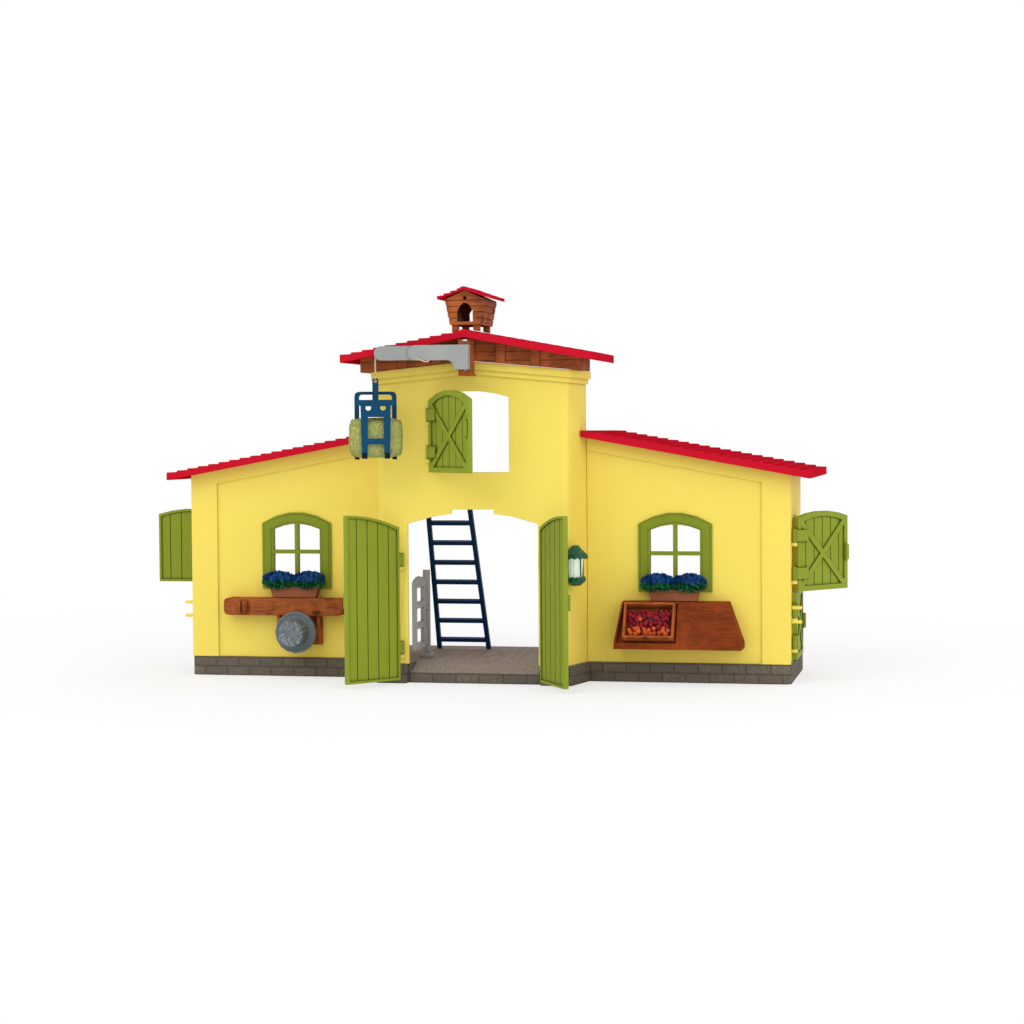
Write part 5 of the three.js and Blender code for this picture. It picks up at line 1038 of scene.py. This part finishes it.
@dataclass
class HoistString:
    """The twisted string: along the arm's groove, over the wheel and down to the ring."""

    strands: int = 3
    strand: float = 0.32 * MM
    corners: int = 8
    lay: float = 0.3 * MM
    pitch: float = 3.2 * MM
    step: float = 0.3 * MM
    coarse_steps: int = 12
    wheel_reach: float = 5.05 * MM
    drum_reach: float = 4.25 * MM
    overlap: float = 0.3 * MM
    hair: float = 1e-12
    tail: tuple[Triple, ...] = (
        (-0.0346, -0.1112, 0.2534), (-0.0338, -0.1126, 0.2530), (-0.0315, -0.1128, 0.2522),
        (-0.0285, -0.1128, 0.2510), (-0.0262, -0.1128, 0.2503), (-0.0245, -0.1127, 0.2508),
        (-0.0234, -0.1126, 0.2524),
    )

    def route(self) -> list[Vector]:
        """Follow the run: off the drum, a quarter round the wheel and down from it.

        Returns:
            The points, from the drum's top.
        """
        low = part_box("string_run")[0]
        y = middle_of("string_run").y
        wheel, drum = middle_of("tip_pulley"), middle_of("winch")
        start = Vector((drum.x, y, drum.z + self.drum_reach))
        top = Vector((wheel.x, y, wheel.z + self.wheel_reach))
        points = [start.lerp(top, step / self.coarse_steps) for step in range(self.coarse_steps)]
        for step in range(self.coarse_steps + 1):
            angle = math.pi / 2 + step * math.pi / 2 / self.coarse_steps
            way = Vector((math.cos(angle), 0.0, math.sin(angle)))
            points.append(Vector((wheel.x, y, wheel.z)) + way * self.wheel_reach)
        points.append(Vector((wheel.x - self.wheel_reach, y, low.z)))
        return points

    def stations(self, points: Sequence[Vector]) -> list[tuple[Vector, float]]:
        """Walk a line in short, even steps.

        Args:
            points: The line's points.

        Returns:
            The point of each step, and how far along the line it is.
        """
        lengths = [0.0]
        for before, after in zip(points, points[1:]):
            lengths.append(lengths[-1] + (after - before).length)
        total = lengths[-1]
        steps = max(self.coarse_steps, int(total / self.step))
        line = []
        for step in range(steps + 1):
            want = total * step / steps
            index = max(i for i in range(len(points) - 1) if lengths[i] <= want + self.hair)
            share = (want - lengths[index]) / (lengths[index + 1] - lengths[index])
            line.append((points[index].lerp(points[index + 1], share), want))
        return line

    def twisted(self, name: str, points: Sequence[Vector]) -> bpy.types.Object:
        """Wind strands round a line.

        Args:
            name: The piece's name.
            points: The line's points.

        Returns:
            The string as a mesh.
        """
        def around(over: Vector, turn: float) -> Vector:
            """Return the way out from a line at a turn, from straight back towards over."""
            return Vector((0.0, math.cos(turn), 0.0)) + over * math.sin(turn)

        line = self.stations(points)
        mesh = bmesh.new()
        for strand in range(self.strands):
            rings = []
            for index, (middle, reach) in enumerate(line):
                after = line[min(index + 1, len(line) - 1)][0]
                before = line[max(index - 1, 0)][0]
                over = (after - before).normalized().cross(Vector((0.0, 1.0, 0.0))).normalized()
                angle = reach / self.pitch * math.tau + strand * math.tau / self.strands
                centre = middle + around(over, angle) * self.lay
                turns = [corner * math.tau / self.corners for corner in range(self.corners)]
                rings.append([mesh.verts.new(centre + around(over, turn) * self.strand) for turn in turns])
            for first, second in zip(rings, rings[1:]):
                for corner in range(self.corners):
                    following = (corner + 1) % self.corners
                    mesh.faces.new((first[corner], first[following], second[following], second[corner]))
            mesh.faces.new(rings[0])
            mesh.faces.new(rings[-1])
        bmesh.ops.recalc_face_normals(mesh, faces=mesh.faces[:])
        return made_object(name, mesh, (YARN.material(),))

    def build(self) -> None:
        """Make the run on the arm, the length that lowers the grab, and the loose end in front of the arm."""
        run = self.twisted("hoist_string_run", self.route())
        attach(run, "crane")
        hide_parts("string_run")
        low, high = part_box("hoist_string")
        x, y = middle_of("hoist_string").xy
        ends = [Vector((x, y, high.z + self.overlap)), Vector((x, y, low.z))]
        drop = self.twisted("hoist_string_drop", ends)
        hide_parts("hoist_string")
        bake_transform(drop)
        tail = self.twisted("hoist_string_tail", [Vector(point) for point in self.tail])
        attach(tail, "crane")
        log.info("hoist string: run, drop and loose end")


@dataclass
class Studio:
    """A pale floor, soft light and a camera where the photograph was taken from."""

    camera_place: Triple = (0.389795, -1.73994, 0.196364)
    turn_left: float = 12.131
    look_down: float = 2.079
    roll: float = -0.402
    focal_share: float = 2200.0 / 1024.0
    sensor: float = 36.0
    floor_white: float = 0.62
    white_range: Pair = (0.35, 1.1)
    aim: Triple = (0.0, 0.0, 0.12)
    lamps: tuple[tuple[str, Triple, float, float], ...] = (
        ("key_lamp", (-1.1, -2.2, 2.3), 2.4, 28.0), ("fill_lamp", (1.8, -1.6, 1.2), 2.4, 16.0),
        ("back_lamp", (0.4, 1.9, 1.9), 1.6, 8.0),
    )

    def camera(self) -> None:
        """Set the camera."""
        data = bpy.data.cameras.new("camera")
        data.sensor_width = self.sensor
        data.lens = self.focal_share * self.sensor
        data.clip_start, data.clip_end = 0.05, 40.0
        made = linked("camera", data)
        yaw, pitch, tip = (math.radians(angle) for angle in (self.turn_left, self.look_down, self.roll))
        ahead = Vector((-math.sin(yaw) * math.cos(pitch), math.cos(yaw) * math.cos(pitch), -math.sin(pitch)))
        right = Vector((math.cos(yaw), math.sin(yaw), 0.0))
        above = right.cross(ahead)
        side = right * math.cos(tip) + above * math.sin(tip)
        top = above * math.cos(tip) - right * math.sin(tip)
        frame = Matrix((side, top, -ahead)).transposed().to_4x4()
        made.matrix_world = Matrix.Translation(self.camera_place) @ frame
        bpy.context.scene.camera = made

    def floor(self) -> None:
        """Lay the pale floor, which keeps the barn's shadow."""
        net = Net(bpy.data.materials.new("studio_floor"))
        grey = net.node("ShaderNodeBsdfDiffuse", {}, {"Color": (0.92, 0.92, 0.92, 1.0)})
        white = net.node("ShaderNodeEmission", {}, {"Color": WHITE, "Strength": 1.0})
        x, y = net.parts(net.place())[:2]
        away = (x * x + y * y).root().between(*self.white_range)
        share = net.rays("Camera", "Glossy") * (self.floor_white + (1.0 - self.floor_white) * away)
        net.show(net.node("ShaderNodeMixShader", {}, {0: share, 1: grey, 2: white}))
        mesh = bmesh.new()
        bmesh.ops.create_grid(mesh, x_segments=1, y_segments=1, size=12.0)
        made = made_object("studio_floor", mesh, (net.owner,))
        made.location.z = -0.2 * MM

    def lamp(self, name: str, place: Triple, size: float, power: float) -> None:
        """Hang one soft lamp that faces the barn.

        Args:
            name: The lamp's name.
            place: Where it hangs.
            size: The side of its square, in metres.
            power: Its power in watts.
        """
        data = bpy.data.lights.new(name, "AREA")
        data.shape = "SQUARE"
        data.size = size
        data.energy = power
        made = linked(name, data)
        made.location = place
        made.rotation_mode = "QUATERNION"
        made.rotation_quaternion = (Vector(self.aim) - Vector(place)).to_track_quat("-Z", "Y")

    def world(self) -> None:
        """Light the room evenly, and show it white."""
        net = Net(bpy.data.worlds.new("studio_room"))
        levels = {"Value": net.rays("Camera", "Transmission", "Glossy"), "To Min": 0.8, "To Max": 1.0}
        strength = net.node("ShaderNodeMapRange", {}, levels)
        light = net.node("ShaderNodeBackground", {}, {"Color": WHITE, "Strength": strength})
        net.show(light, "ShaderNodeOutputWorld")
        bpy.context.scene.world = net.owner

    def build(self) -> None:
        """Set up the whole studio."""
        bpy.context.scene.view_settings.view_transform = "Standard"
        self.world()
        self.floor()
        self.camera()
        for lamp in self.lamps:
            self.lamp(*lamp)
        log.info("studio: ready")


def corners(box: tuple[Vector, Vector]) -> list[list[float]]:
    """Turn a box into plain lists of numbers."""
    return [list(corner) for corner in box]


def main() -> None:
    """Build the pieces in order and report each one."""
    logging.basicConfig(level=logging.INFO, format="%(name)s: %(message)s")
    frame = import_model()
    Studio().build()
    for side in Side:
        WindowPlanting(side).build()
    ProduceHeap().build()
    LanternScallops().build()
    StrawBale().build()
    HoistString().build()
    Mouldings().dress(frame["nodes"])


if __name__ == "__main__":
    main()
